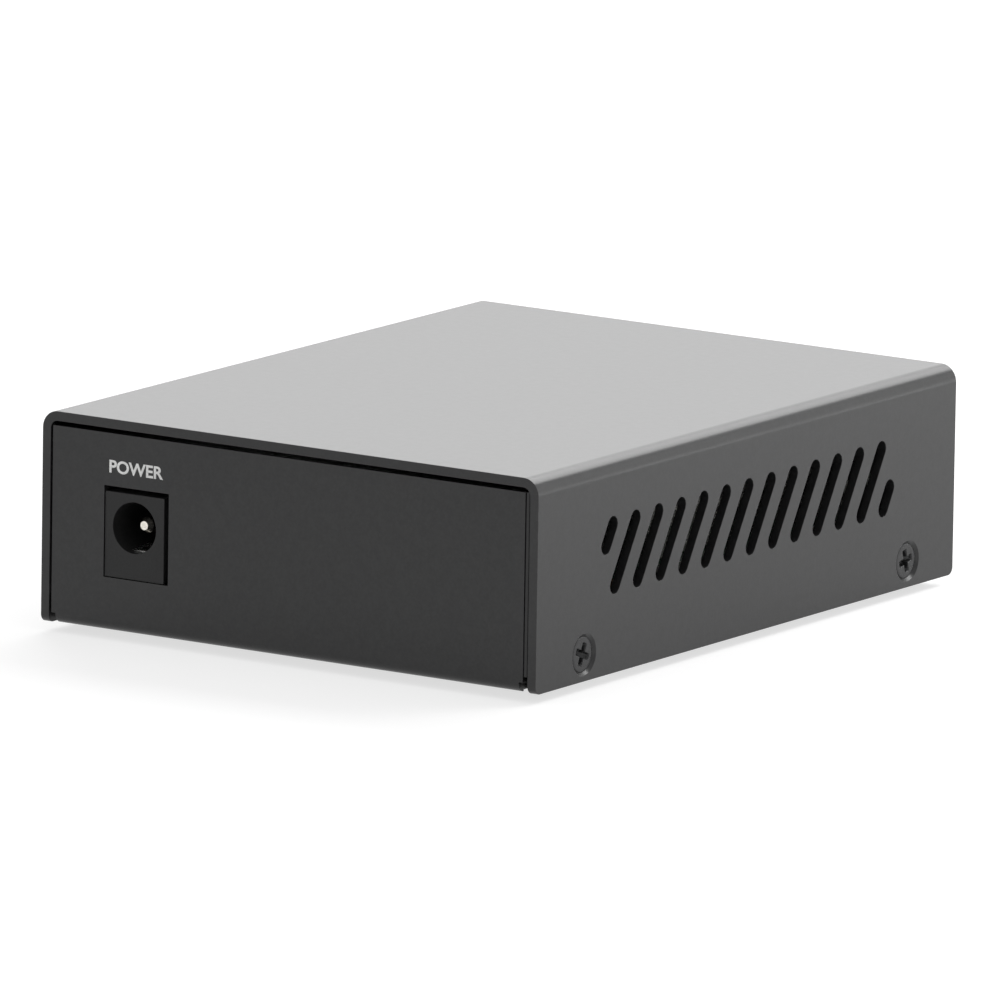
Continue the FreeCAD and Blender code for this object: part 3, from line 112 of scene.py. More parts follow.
def place_mesh(name, points, faces, material, crease=CREASE):
    """Mesh piece at the origin from an (n, 3) array of points in metres and rows of point numbers.
    Equal points are merged, faces turned outwards, and edges over crease degrees kept sharp."""
    mesh = bmesh.new()
    shape = bpy.data.meshes.new(name)
    shape.from_pydata(points, [], faces)
    mesh.from_mesh(shape)
    bmesh.ops.remove_doubles(mesh, verts=mesh.verts, dist=WELD)
    if len(mesh.faces) > 1:
        bmesh.ops.recalc_face_normals(mesh, faces=mesh.faces)
    mesh.to_mesh(shape)
    mesh.free()
    shape.polygons.foreach_set("use_smooth", np.ones(len(shape.polygons), bool))
    shape.set_sharp_from_angle(angle=math.radians(crease))
    shape.materials.append(material)
    made = bpy.data.objects.new(name, shape)
    bpy.context.scene.collection.objects.link(made)
    return made


FLOOR_REACH, FLOOR_LEVEL = 6.0, -2e-5      # metres; just under the feet
FLOOR_GREY, FLOOR_PALE = 0.42, 0.86        # its colour to the camera and gloss, and to all other light
FLOOR_GLOW = 0.68       # what the camera and gloss see of the floor before light and shadow fall on it
material, tree = blank_material("pale_floor")
grey = add(tree, "BsdfDiffuse", {"Color": (FLOOR_GREY, FLOOR_GREY, FLOOR_GREY, 1)})
pale = add(tree, "BsdfDiffuse", {"Color": (FLOOR_PALE, FLOOR_PALE, FLOOR_PALE, 1)})
seen = mirrored_or_seen(tree)
shadowed = add(tree, "MixShader", {"Fac": seen, 1: pale.outputs[0], 2: grey.outputs[0]})
white = add(tree, "Mix", {"Factor": seen, "A": (0, 0, 0, 1), "B": (1, 1, 1, 1)}, data_type="RGBA")
glow = add(tree, "Emission", {"Color": white.outputs["Result"], "Strength": FLOOR_GLOW})
lit_floor = add(tree, "AddShader", {0: shadowed.outputs[0], 1: glow.outputs[0]})
clear = add(tree, "BsdfTransparent")       # what the floor is when looked at from below
below = add(tree, "NewGeometry").outputs["Backfacing"]
one_sided = add(tree, "MixShader", {"Fac": below, 1: lit_floor.outputs[0], 2: clear.outputs[0]})
add(tree, "OutputMaterial", {"Surface": one_sided.outputs[0]})
floor = place_mesh("studio_floor", [(x, y, FLOOR_LEVEL) for x, y in (
    (-FLOOR_REACH, -FLOOR_REACH), (FLOOR_REACH, -FLOOR_REACH), (FLOOR_REACH, FLOOR_REACH),
    (-FLOOR_REACH, FLOOR_REACH))], [(0, 1, 2, 3)], material)

SURROUND_LIT, SURROUND_SEEN = 0.62, 1.0    # its strength as a light, and to the camera and gloss
world = bpy.data.worlds.new("white_surround")
bpy.context.scene.world = world
world.use_nodes = True
tree = world.node_tree
tree.nodes.clear()
lit = add(tree, "Background", {"Strength": SURROUND_LIT})
white = add(tree, "Background", {"Strength": SURROUND_SEEN})
chosen = add(tree, "MixShader", {"Fac": mirrored_or_seen(tree), 1: lit.outputs[0], 2: white.outputs[0]})
add(tree, "OutputWorld", {"Surface": chosen.outputs[0]})


def softbox(name, place, aim, width, height, radiance, spread=180.0):
    """Area lamp in metres, facing aim; its power is pi times radiance times area. The camera doesn't
    see it."""
    made = bpy.data.objects.new(name, bpy.data.lights.new(name, "AREA"))
    bpy.context.scene.collection.objects.link(made)
    made.data.shape, made.data.size, made.data.size_y = "RECTANGLE", width, height
    made.data.energy = math.pi*radiance*width*height
    made.data.spread = math.radians(spread)
    made.location = place
    made.rotation_euler = (Vector(place) - Vector(aim)).to_track_quat("Z", "Y").to_euler()
    made.visible_camera = False


softbox("overhead_softbox", (-0.5, 0.6, 1.6), (0, 0, 0), 1.6, 1.6, 0.45)
softbox("low_softbox", (0.95, -1.9, 0.6), (0, 0, 0.1), 2.4, 0.8, 1.2)
softbox("high_softbox", (0.5, -1.45, 1.35), (0, 0, 0), 2.0, 0.8, 4.3)
softbox("floor_softbox", (-0.9, -1.2, 0.6), (-0.9, -1.2, 0), 1.4, 1.8, 8.0, spread=110.0)
softbox("horizon_softbox", (-1.2, -1.7, 0.55), (0, 0, 0), 1.2, 1.1, 0.95)

# --- Cover ------------------------------------------------------------------------------------
# One sheet of 1.2 mm steel, blanked with its slanted vents and folded down at both sides. It is
# powder coated in charcoal, satin, and the coat rounds every cut edge a little.
MM = 0.001
NOISE_LOW, NOISE_HIGH = 0.3, 0.7        # what one noise mostly keeps between
BLEND_LOW, BLEND_HIGH = 0.75, 1.25      # and the sum of two


def surface_grain():
    """Group for a finish that wanders: broad patches and fine grain from two noises, stretched along
    an axis where the metal was brushed or drawn. It puts out colour, roughness and height."""
    group = bpy.data.node_groups.new("surface_grain", "ShaderNodeTree")
    for label, kind, value in (("Dark", "Color", (0, 0, 0, 1)), ("Light", "Color", (1, 1, 1, 1)),
                               ("Stretch", "Vector", (1, 1, 1)), ("Patch Scale", "Float", 300.0),
                               ("Grain Scale", "Float", 3000.0), ("Smoothest", "Float", 0.3),
                               ("Roughest", "Float", 0.5)):
        socket = group.interface.new_socket(label, in_out="INPUT", socket_type="NodeSocket" + kind)
        socket.default_value = value
    for label, kind in (("Color", "Color"), ("Roughness", "Float"), ("Height", "Float")):
        group.interface.new_socket(label, in_out="OUTPUT", socket_type="NodeSocket" + kind)
    given = group.nodes.new("NodeGroupInput").outputs
    place = add(group, "TexCoord").outputs["Object"]
    along = add(group, "VectorMath", {0: place, 1: given["Stretch"]}, operation="MULTIPLY").outputs[0]
    patch = add(group, "TexNoise", {"Vector": along, "Scale": given["Patch Scale"], "Detail": 4.0})
    grain = add(group, "TexNoise", {"Vector": along, "Scale": given["Grain Scale"], "Detail": 2.0})
    blend = arithmetic(group, "ADD", patch.outputs["Fac"], grain.outputs["Fac"])
    spread = add(group, "MapRange", {"Value": blend, "From Min": BLEND_LOW, "From Max": BLEND_HIGH})
    colour = add(group, "Mix", {"Factor": spread.outputs[0], "A": given["Dark"], "B": given["Light"]},
                 data_type="RGBA")
    rough = add(group, "MapRange", {"Value": patch.outputs["Fac"], "From Min": NOISE_LOW,
                                    "From Max": NOISE_HIGH, "To Min": given["Smoothest"],
                                    "To Max": given["Roughest"]})
    put = group.nodes.new("NodeGroupOutput")
    group.links.new(colour.outputs["Result"], put.inputs["Color"])
    group.links.new(rough.outputs[0], put.inputs["Roughness"])
    group.links.new(grain.outputs["Fac"], put.inputs["Height"])
    return group


GRAIN = surface_grain()


def finish(name, dark, light, smoothest, roughest, depth, patch=300.0, grain=3000.0,
           stretch=(1, 1, 1), **shader):
    """Material of one finish: the grain group drives colour, roughness and bump (depth in metres), and
    the shader's own sockets take what is the same all over, named with _ for a space."""
    material, tree = blank_material(name)
    made = add(tree, "Group", node_tree=GRAIN)
    for label, value in (("Dark", (*dark, 1)), ("Light", (*light, 1)), ("Stretch", stretch),
                         ("Patch Scale", patch), ("Grain Scale", grain), ("Smoothest", smoothest),
                         ("Roughest", roughest)):
        made.inputs[label].default_value = value
    bump = add(tree, "Bump", {"Strength": 1.0, "Distance": depth, "Height": made.outputs["Height"]})
    gloss = add(tree, "BsdfPrincipled", {"Base Color": made.outputs["Color"], "Normal": bump.outputs[0],
                                         "Roughness": made.outputs["Roughness"]})
    for label, value in shader.items():
        gloss.inputs[label.replace("_", " ")].default_value = value
    add(tree, "OutputMaterial", {"Surface": gloss.outputs[0]})
    return material


HIGHLIGHT_PATCH_SCALE, HIGHLIGHT_FROM, HIGHLIGHT_TO = 900.0, 0.6, 0.8    # size of the patches of painted edge highlight, and their soft border


def painted_edge_highlight(material, colour, share):
    """Painted highlight: lighten the rounded edges that softened marks, in broken patches over about a
    share of them, where light would catch them.
    """
    tree = material.node_tree
    gloss = next(node for node in tree.nodes if node.type == "BSDF_PRINCIPLED")
    plain = gloss.inputs["Base Color"].links[0].from_socket
    mark = add(tree, "Attribute", attribute_name="edge").outputs["Fac"]
    place = add(tree, "TexCoord").outputs["Object"]
    highlight_patches = add(tree, "TexNoise", {"Vector": place, "Scale": HIGHLIGHT_PATCH_SCALE, "Detail": 5.0}).outputs["Fac"]
    broken = add(tree, "MapRange", {"Value": highlight_patches, "From Min": HIGHLIGHT_FROM - share/2,
                                    "From Max": HIGHLIGHT_TO - share/2})
    where = arithmetic(tree, "MULTIPLY", mark, broken.outputs[0])
    mixed = add(tree, "Mix", {"Factor": where, "A": plain, "B": (*colour, 1)}, data_type="RGBA")
    tree.links.new(mixed.outputs["Result"], gloss.inputs["Base Color"])


def lean_normals(shape):
    """Turn each point's shading normal to the sum of its faces' normals, each weighed by its area
    squared, so flats stay flat beside a rounded edge."""
    areas = np.empty(len(shape.polygons))
    shape.polygons.foreach_get("area", areas)
    normals = np.empty(3*len(shape.polygons))
    shape.polygons.foreach_get("normal", normals)
    corners = np.empty(len(shape.polygons), int)
    shape.polygons.foreach_get("loop_total", corners)
    points = np.empty(len(shape.loops), int)
    shape.loops.foreach_get("vertex_index", points)
    pull = normals.reshape(-1, 3)*(areas/areas.max())[:, None]**2
    total = np.full((len(shape.vertices), 3), 1e-30)
    np.add.at(total, points, np.repeat(pull, corners, axis=0))
    shape.normals_split_custom_set_from_vertices(total/np.linalg.norm(total, axis=1, keepdims=True))


FLAT = 0.3          # faces that turn less than this are one flat, degrees


def softened(name, material, radius, body="converter", crease=CREASE):
    """Stand-in for a CAD node with its sharp edges rounded: its loose triangles are merged, the flat
    ones joined, and each edge that turns more than crease degrees becomes a round strip, which the
    face attribute "edge" marks with 1."""
    mesh = bmesh.new()
    mesh.from_mesh(nodes[name].data)
    bmesh.ops.remove_doubles(mesh, verts=mesh.verts, dist=WELD)
    bmesh.ops.dissolve_limit(mesh, angle_limit=math.radians(FLAT), verts=mesh.verts, edges=mesh.edges)
    sharp = [edge for edge in mesh.edges
             if edge.is_manifold and edge.calc_face_angle() > math.radians(crease)]
    mark = mesh.faces.layers.float.new("edge")
    strips = bmesh.ops.bevel(mesh, geom=sharp, offset=radius, segments=2, profile=0.5, affect="EDGES",
                             clamp_overlap=True)["faces"]
    for strip in strips:
        strip[mark] = 1.0
    shape = bpy.data.meshes.new(name + "_finished")
    mesh.to_mesh(shape)
    mesh.free()
    shape.polygons.foreach_set("use_smooth", np.ones(len(shape.polygons), bool))
    lean_normals(shape)
    shape.materials.append(material)
    made = bpy.data.objects.new(name + "_finished", shape)
    bpy.context.scene.collection.objects.link(made)
    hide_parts(name)
    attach(made, body)
    return made


def coat_node(name, material):
    """Give a CAD node that keeps its own shape its finish."""
    nodes[name].data.materials.clear()
    nodes[name].data.materials.append(material)


EDGE_R = 0.3*MM                         # rounding of the coated edges
# Painted highlight: the coat's rounded edges are lightened to this grey in patches over this share of them.
EDGE_HIGHLIGHT_GREY, EDGE_HIGHLIGHT_SHARE = (0.03, 0.03, 0.031), 0.3
powder_coat = finish("charcoal_powder_coat", (0.012, 0.012, 0.0125), (0.018, 0.018, 0.0185), 0.275, 0.29,
                     2.5e-6, patch=900.0, grain=2600.0, IOR=1.45)
painted_edge_highlight(powder_coat, EDGE_HIGHLIGHT_GREY, EDGE_HIGHLIGHT_SHARE)
softened("cover", powder_coat, EDGE_R)

# --- Base tray and rear print -----------------------------------------------------------------
# The second sheet: floor, both end panels and a low flange along each side, coated as the cover is.
# The panels' top and upright edges are folded inwards. The word POWER is screen printed in white
# above the power jack.
softened("base_tray", powder_coat, EDGE_R)

FOLD_T, NOSE_R = 1.1, 0.55                  # a fold's sheet and the radius of its rounded edge, mm
FOLD_TOP_L, FOLD_SIDE_L = 5.0, 3.0          # reach of the top folds and of the upright folds
NOSE_SUNK = 0.22                            # the rounded edge starts this far behind the panel's face
PANEL_IN = 1.3                              # depth just past the panel's inner face
FOLD_SHY = 0.02                             # a fold stops this far below the panel's edge
FOLD_END = 1.2                              # and the top fold this far short of its corners
FOLD_FOOT = 3.2                             # height where the upright folds start


def grid_faces(rows, columns):
    """Quads of a grid of points that closes on itself across its columns."""
    row, column = np.meshgrid(np.arange(rows - 1), np.arange(columns), indexing="ij")
    beside = (column + 1) % columns
    return np.stack([row*columns + column, row*columns + beside, (row + 1)*columns + beside,
                     (row + 1)*columns + column], -1).reshape(-1, 4)


def fold(start, end, edge, out, side, reach):
    """Bar along a panel's edge: the profile, a quarter round nose and a flat leg, is swept straight from
    start to end, point = start or end + o*out + d*inward. It returns points and faces."""
    bend = np.linspace(0, math.pi/2, 6)
    nose = np.stack([edge - NOSE_R + NOSE_R*np.sin(bend), NOSE_SUNK + NOSE_R - NOSE_R*np.cos(bend)], 1)
    leg = np.array([(edge, reach), (edge - FOLD_T, reach), (edge - FOLD_T, PANEL_IN),
                    (edge - NOSE_R, PANEL_IN)])
    profile = np.concatenate([nose, leg])
    inward = np.array([0.0, -side, 0.0])
    ring = profile[:, :1]*np.array(out) + profile[:, 1:]*inward
    count = len(profile)
    ends = [list(range(count)), list(range(2*count - 1, count - 1, -1))]
    points = np.concatenate([np.array(start) + ring, np.array(end) + ring])
    return points, grid_faces(2, count).tolist() + ends


tray_high = np.array(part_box("base_tray")[1])/MM
panel_top, panel_side = tray_high[2] - FOLD_SHY, tray_high[0] - FOLD_SHY
fold_points, fold_faces = [], []
for side in (1, -1):
    face, top_end = tray_high[1]*side, panel_side - FOLD_END
    runs = [((-top_end, face, 0), (top_end, face, 0), panel_top, (0, 0, 1), FOLD_TOP_L)]
    runs += [((0, face, FOLD_FOOT), (0, face, panel_top), panel_side, (flank, 0, 0), FOLD_SIDE_L)
             for flank in (-1, 1)]
    for start, end, edge, out, reach in runs:
        points, faces = fold(start, end, edge, out, side, reach)
        already = len(points)*len(fold_points)
        fold_faces += [[at + already for at in row] for row in faces]
        fold_points.append(points)
panel_folds = place_mesh("panel_folds", np.concatenate(fold_points)*MM, fold_faces, powder_coat)
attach(panel_folds, "converter")

PRINT_LEFT, PRINT_RIGHT = 26.62, 18.62     # the word's ends along X, read from behind, mm
PRINT_FOOT, PRINT_CAP = 21.05, 1.62        # baseline above the floor and height of a capital, mm
INK_T, INK_SPREAD = 0.03, 0.026            # its thickness, mm, and how much fatter it prints, of a letter
white_ink = finish("white_screen_ink", (0.72, 0.72, 0.71), (0.9, 0.9, 0.89), 0.4, 0.55, 1.5e-6,
                   patch=900.0, grain=6000.0)
letters = bpy.data.curves.new("power_word", "FONT")
letters.body = "POWER"
letters.extrude = 0.5                      # gives the word two sides, which INK_T then sets apart
letters.offset = INK_SPREAD
holder = bpy.data.objects.new("power_word", letters)
bpy.context.scene.collection.objects.link(holder)
bpy.context.view_layer.update()
word = bpy.data.meshes.new_from_object(holder.evaluated_get(bpy.context.evaluated_depsgraph_get()))
bpy.data.objects.remove(holder)
spots = np.empty(3*len(word.vertices))
word.vertices.foreach_get("co", spots)
spots = spots.reshape(-1, 3)
low, high = spots.min(axis=0), spots.max(axis=0)
share = (spots - low)/(high - low)
panel_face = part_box("base_tray")[1][1]
spots[:, 0] = (PRINT_LEFT + (PRINT_RIGHT - PRINT_LEFT)*share[:, 0])*MM
spots[:, 1] = panel_face + (share[:, 2] - 0.5)*INK_T*MM
spots[:, 2] = (PRINT_FOOT + PRINT_CAP*share[:, 1])*MM
word.vertices.foreach_set("co", spots.ravel())
word.update()
word.materials.clear()
word.materials.append(white_ink)
rear_print = bpy.data.objects.new("rear_print", word)
bpy.context.scene.collection.objects.link(rear_print)
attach(rear_print, "converter")

# --- Case screws ------------------------------------------------------------------------------
# Four M3 countersunk screws in black zinc hold the cover to the tray flanges. Each has a cross
# recess, pressed deeper towards its middle, and each was left turned as the driver stopped.
SCREW_TURNS = {(-1, 1): 22.0, (-1, -1): -14.0, (1, 1): 41.0, (1, -1): 8.0}   # degrees, by side and end
HEAD_R, SHANK_R, SCREW_L = 2.25, 1.48, 4.5          # mm
FACE_R, SHANK_TOP = 1.75, 0.9                       # flat face, and where the shank starts below it
CROSS_W, CROSS_TIP, CROSS_DEEP = 0.37, 1.4, 1.1     # half width, reach and depth of the cross
CROSS_WALL, CROSS_RISE = 0.16, 0.65                 # width of its walls, and share lost at an arm's tip


def turned(profile, sides):
    """Turned shape: point(u, v) = (r(u) cos v, r(u) sin v, h(u)), for rows (r, h) that start and end
    on the axis. It returns points and quads."""
    radius, height = np.asarray(profile, float).T[:, :, None]
    angle = np.linspace(0, 2*math.pi, sides, endpoint=False)[None, :]
    points = np.stack([radius*np.cos(angle), radius*np.sin(angle), height + 0*angle], -1)
    return points.reshape(-1, 3), grid_faces(len(profile), sides)


def repeated(parts, faces):
    """Like pieces as one mesh: their points, piece after piece, and the faces that each of them has."""
    return np.concatenate(parts), np.concatenate([faces + len(parts[0])*at for at in range(len(parts))])


def ease(value):
    """Smooth step from 0 to 1."""
    value = np.clip(value, 0, 1)
    return value*value*(3 - 2*value)


def cross_recess(points):
    """Depth of the cross at points of a screw's face: it falls along each arm from CROSS_DEEP in the
    middle to a third at the tip, and across the arm's edge over an eased wall."""
    away = np.abs(points[:, :2])
    arms = [CROSS_DEEP*(1 - CROSS_RISE*along/CROSS_TIP)*ease((CROSS_W - across)/CROSS_WALL + 0.5)
            * ease((CROSS_TIP - along)/CROSS_WALL + 0.5) for along, across in (away.T, away.T[::-1])]
    return np.maximum(*arms)


screw_rows = ([(radius, 0.0) for radius in np.linspace(0, FACE_R, 29)]
              + [(2.0, -0.01), (2.14, -0.03), (2.22, -0.08), (HEAD_R, -0.15), (1.6, -0.8),
                 (SHANK_R, -SHANK_TOP), (SHANK_R, 0.3 - SCREW_L), (1.2, -SCREW_L), (0, -SCREW_L)])
screw_points, screw_faces = turned(screw_rows, 96)
head = screw_points[:, 2] >= 0
screw_points[head, 2] -= cross_recess(screw_points[head])
screw_low, screw_high = (np.array(corner)/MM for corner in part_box("case_screws"))
screw_set = []
for (side, end), angle in SCREW_TURNS.items():
    cos, sin = math.cos(math.radians(angle)), math.sin(math.radians(angle))
    across, up, out = screw_points.T
    along, rise = cos*across - sin*up, sin*across + cos*up
    middle_y = screw_high[1] - HEAD_R if end > 0 else screw_low[1] + HEAD_R
    screw_set.append(np.stack([side*(screw_high[0] + out), middle_y + along,
                               (screw_low[2] + screw_high[2])/2 + rise], -1))
screw_black = finish("black_zinc", (0.010, 0.010, 0.011), (0.03, 0.03, 0.031), 0.22, 0.36, 1.2e-6,
                     patch=700.0, grain=5000.0, Metallic=0.35)
set_points, set_faces = repeated(screw_set, screw_faces)
case_screws = place_mesh("case_screws_finished", set_points*MM, set_faces, screw_black, crease=50.0)
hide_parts("case_screws")
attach(case_screws, "converter")

# --- Rubber feet ------------------------------------------------------------------------------
# Four black self-adhesive rubber feet under the tray floor, moulded with a rounded foot edge and a
# shallow dished sole.
foot_low, foot_high = (np.array(corner)/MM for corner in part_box("rubber_feet"))
FOOT_R, FOOT_EDGE_R = 4.0, 0.5          # mm
SOLE_R, DISH_R, DISH = 2.9, 2.5, 0.1    # ring that stands on the ground, and the dish inside it
foot_h = foot_high[2] - foot_low[2]
foot_rows = ([(0, foot_h), (FOOT_R - 0.25, foot_h), (FOOT_R, foot_h - 0.1)]
             + [(FOOT_R - FOOT_EDGE_R*(1 - math.cos(bend)), FOOT_EDGE_R*(1 - math.sin(bend)))
                for bend in np.linspace(0, math.pi/2, 7)]
             + [(SOLE_R, 0.0), (DISH_R, 0.06), (0, DISH)])
foot_points, foot_faces = turned(foot_rows, 48)
foot_spots = [((foot_low[0] + FOOT_R)*side, (foot_low[1] + FOOT_R)*end, 0.0)
              for side in (-1, 1) for end in (-1, 1)]
foot_rubber = finish("black_rubber", (0.008, 0.008, 0.008), (0.018, 0.018, 0.018), 0.62, 0.82, 6e-6,
                     patch=350.0, grain=2600.0)
set_points, set_faces = repeated([foot_points + spot for spot in foot_spots], foot_faces)
rubber_feet = place_mesh("rubber_feet_finished", set_points*MM, set_faces, foot_rubber)
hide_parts("rubber_feet")
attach(rubber_feet, "converter")

# --- Standoffs and board screws ---------------------------------------------------------------
# Hexagonal steel standoffs, zinc plated and pressed into the tray floor, with a pan head screw
# in each that clamps the board.
bright_plate = finish("bright_zinc_plate", (0.50, 0.50, 0.49), (0.70, 0.70, 0.68), 0.2, 0.36, 1e-6,
                      patch=420.0, grain=2600.0, stretch=(1, 1, 4), Metallic=1.0)
coat_node("board_standoffs", bright_plate)
coat_node("board_screws", bright_plate)

# --- Circuit board ----------------------------------------------------------------------------
# Glass laminate with copper tracks under green solder mask, tinned vias, and bare tan laminate
# along its routed edges.
FIELDS, VIAS = 0.2, 0.33                # fields of tracks, and vias, along a millimetre
BARE_SHARE = 0.35                       # share of the fields without tracks
TRACK_STEP, TRACK_W = 0.42, 0.17        # half the pitch and half the width of the tracks, mm
VIA_R = 0.1                             # of the way to the next via
MASK_GREEN, TRACK_GREEN = (0.004, 0.05, 0.02, 1), (0.012, 0.11, 0.045, 1)
SOLDER_GREY, LAMINATE_TAN = (0.6, 0.6, 0.57, 1), (0.28, 0.24, 0.11, 1)
TRACK_T = 3e-5                          # copper, metres
material, tree = blank_material("green_circuit_board")
place = add(tree, "TexCoord").outputs["Object"]
in_mm = add(tree, "VectorMath", {0: place, "Scale": 1000.0}, operation="SCALE").outputs[0]
field = add(tree, "TexVoronoi", {"Vector": in_mm, "Scale": FIELDS}, distance="CHEBYCHEV")
kind_of = add(tree, "SeparateColor", {"Color": field.outputs["Color"]}).outputs
spot = add(tree, "SeparateXYZ", {"Vector": in_mm}).outputs
upright_field = arithmetic(tree, "GREATER_THAN", kind_of["Red"], 0.5)
line = add(tree, "Mix", {"Factor": upright_field, "A": spot["X"], "B": spot["Y"]}).outputs["Result"]
band = arithmetic(tree, "PINGPONG", line, TRACK_STEP)
track = arithmetic(tree, "LESS_THAN", band, TRACK_W)
routed = arithmetic(tree, "GREATER_THAN", kind_of["Green"], BARE_SHARE)
copper = arithmetic(tree, "MULTIPLY", track, routed)
hole = add(tree, "TexVoronoi", {"Vector": in_mm, "Scale": VIAS}).outputs["Distance"]
via = arithmetic(tree, "LESS_THAN", hole, VIA_R)
face_up = add(tree, "SeparateXYZ", {"Vector": add(tree, "NewGeometry").outputs["Normal"]}).outputs["Z"]
flat = arithmetic(tree, "GREATER_THAN", arithmetic(tree, "ABSOLUTE", face_up), 0.5)
masked = add(tree, "Mix", {"Factor": copper, "A": MASK_GREEN, "B": TRACK_GREEN},
             data_type="RGBA").outputs["Result"]
drilled = add(tree, "Mix", {"Factor": via, "A": masked, "B": SOLDER_GREY},
              data_type="RGBA").outputs["Result"]
edged = add(tree, "Mix", {"Factor": flat, "A": LAMINATE_TAN, "B": drilled},
            data_type="RGBA").outputs["Result"]
step = add(tree, "Bump", {"Strength": 0.6, "Distance": TRACK_T, "Height": copper})
tinned = arithmetic(tree, "MULTIPLY", via, flat)
smooth = add(tree, "MapRange", {"Value": copper, "To Min": 0.42, "To Max": 0.28})
gloss = add(tree, "BsdfPrincipled", {"Base Color": edged, "Metallic": tinned,
                                     "Roughness": smooth.outputs[0], "Normal": step.outputs[0]})
add(tree, "OutputMaterial", {"Surface": gloss.outputs[0]})
coat_node("circuit_board", material)

# --- Module cage ------------------------------------------------------------------------------
# Folded cage of tin-plated nickel silver for a pluggable optical module, with a spring collar that
# touches the panel round its mouth and a black connector at its inner end.
cage_plate = finish("tinned_cage_plate", (0.50, 0.49, 0.46), (0.72, 0.71, 0.67), 0.2, 0.34, 1.2e-6,
                    patch=260.0, grain=2200.0, stretch=(5, 1, 5), Metallic=1.0)
spring_plate = finish("bright_spring_plate", (0.52, 0.51, 0.48), (0.68, 0.67, 0.63), 0.15, 0.26, 8e-7,
                      patch=500.0, grain=3000.0, stretch=(6, 1, 6), Metallic=1.0)
contact_gold = finish("gold_flash", (0.72, 0.47, 0.17), (0.88, 0.62, 0.27), 0.16, 0.28, 8e-7,
                      patch=600.0, grain=3500.0, Metallic=1.0)
black_nylon = finish("black_moulded_nylon", (0.010, 0.010, 0.0105), (0.016, 0.016, 0.0165), 0.42, 0.56,
                     5e-6, patch=260.0, grain=3200.0, IOR=1.46)
coat_node("module_cage", cage_plate)
coat_node("cage_spring_collar", spring_plate)
coat_node("module_connector_contacts", contact_gold)
softened("module_connector", black_nylon, 0.08*MM)

# --- Network jack -----------------------------------------------------------------------------
# Black moulded eight-way jack in a plated steel shield. The shield is folded from one strip, and its
# bowed earthing tabs press on the panel; the eight contact wires are gold flashed.
shield_plate = finish("nickel_shield_plate", (0.40, 0.39, 0.365), (0.55, 0.54, 0.51), 0.2, 0.33, 1.2e-6,
                      patch=300.0, grain=2400.0, stretch=(1, 5, 5), Metallic=1.0)
coat_node("network_jack_shield", shield_plate)
coat_node("network_jack_contacts", contact_gold)
softened("network_jack_moulding", black_nylon, 0.1*MM)

# --- Function switch --------------------------------------------------------------------------
# Two-way slide switch on the board, in a blue moulded housing. Its white levers stand in slots and
# slide up.
blue_mould = finish("blue_switch_moulding", (0.010, 0.034, 0.17), (0.016, 0.05, 0.23), 0.35, 0.5, 3e-6,
                    patch=260.0, grain=3200.0)
white_mould = finish("white_lever_moulding", (0.52, 0.52, 0.505), (0.6, 0.6, 0.585), 0.3, 0.44, 2e-6,
                     patch=260.0, grain=3200.0)
softened("switch_housing", blue_mould, 0.1*MM)
softened("switch_lever_left", white_mould, 0.12*MM, body="left_lever")
softened("switch_lever_right", white_mould, 0.12*MM, body="right_lever")

# --- Indicator lights -------------------------------------------------------------------------
# Four clear green-tinted lights with domed ends, held two by two in a black block behind the panel.
# Their square tinned legs come out of its back and turn down to the board.
lamp_low, lamp_high = (np.array(corner)/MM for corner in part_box("indicator_lights"))
LAMP_R, DOME, LAMP_RIM = 1.45, 0.75, 0.15           # radius, height of the dome and rear chamfer, mm
lamp_l = lamp_high[1] - lamp_low[1]
dome = [(LAMP_R*math.sin(bend), lamp_l - DOME*(1 - math.cos(bend)))
        for bend in np.linspace(0, math.pi/2, 10)]
lamp_points, lamp_faces = turned(dome + [(LAMP_R, LAMP_RIM), (LAMP_R - LAMP_RIM, 0), (0, 0)], 40)
lamp_points = lamp_points[:, [0, 2, 1]]*(1, -1, 1)
lamp_spots = [(x, lamp_high[1], z) for x in (lamp_low[0] + LAMP_R, lamp_high[0] - LAMP_R)
              for z in (lamp_low[2] + LAMP_R, lamp_high[2] - LAMP_R)]
clear_epoxy = finish("green_clear_epoxy", (0.16, 0.46, 0.10), (0.24, 0.58, 0.17), 0.07, 0.13, 5e-7,
                     patch=300.0, grain=2500.0, Transmission_Weight=0.55, IOR=1.52)
set_points, set_faces = repeated([lamp_points + spot for spot in lamp_spots], lamp_faces)
indicator_lights = place_mesh("indicator_lights_finished", set_points*MM, set_faces, clear_epoxy)
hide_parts("indicator_lights")
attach(indicator_lights, "converter")
softened("light_block", black_nylon, 0.12*MM)

tin_plate = finish("bright_tin_plate", (0.70, 0.70, 0.68), (0.88, 0.88, 0.86), 0.2, 0.32, 1.2e-6,
                   patch=400.0, grain=2600.0, Metallic=1.0)
LEG_PITCH, LEG_HALF, LEG_BEND = 1.27, 0.25, 0.6     # step, half thickness and bend of a light's legs, mm
LOW_LEG_BACK, HIGH_LEG_BACK = 1.2, 2.5              # behind the block, they turn down this far back
block_back, board_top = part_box("light_block")[1][1]/MM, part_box("circuit_board")[1][2]/MM


def leg(x, z, back):
    """Square wire: its section, a square across the path, is swept from the block's back, round a
    quarter bend and down to the board; the ring at a path point is point + side*x + out*normal."""
    bend = np.linspace(0, math.pi/2, 6)
    arc = np.stack([back - LEG_BEND + LEG_BEND*np.sin(bend), z - LEG_BEND + LEG_BEND*np.cos(bend)], 1)
    path = np.concatenate([[(0.0, z)], arc, [(back, board_top)]])
    lean = np.concatenate([[0.0], bend, [math.pi/2]])
    square = LEG_HALF*np.array([(-1, -1), (1, -1), (1, 1), (-1, 1)])
    along = path[:, None, 0] + square[None, :, 1]*np.sin(lean)[:, None]
    rise = path[:, None, 1] + square[None, :, 1]*np.cos(lean)[:, None]
    across = np.broadcast_to(x + square[None, :, 0], along.shape)
    return np.stack([across, block_back + along, rise], -1).reshape(-1, 3)


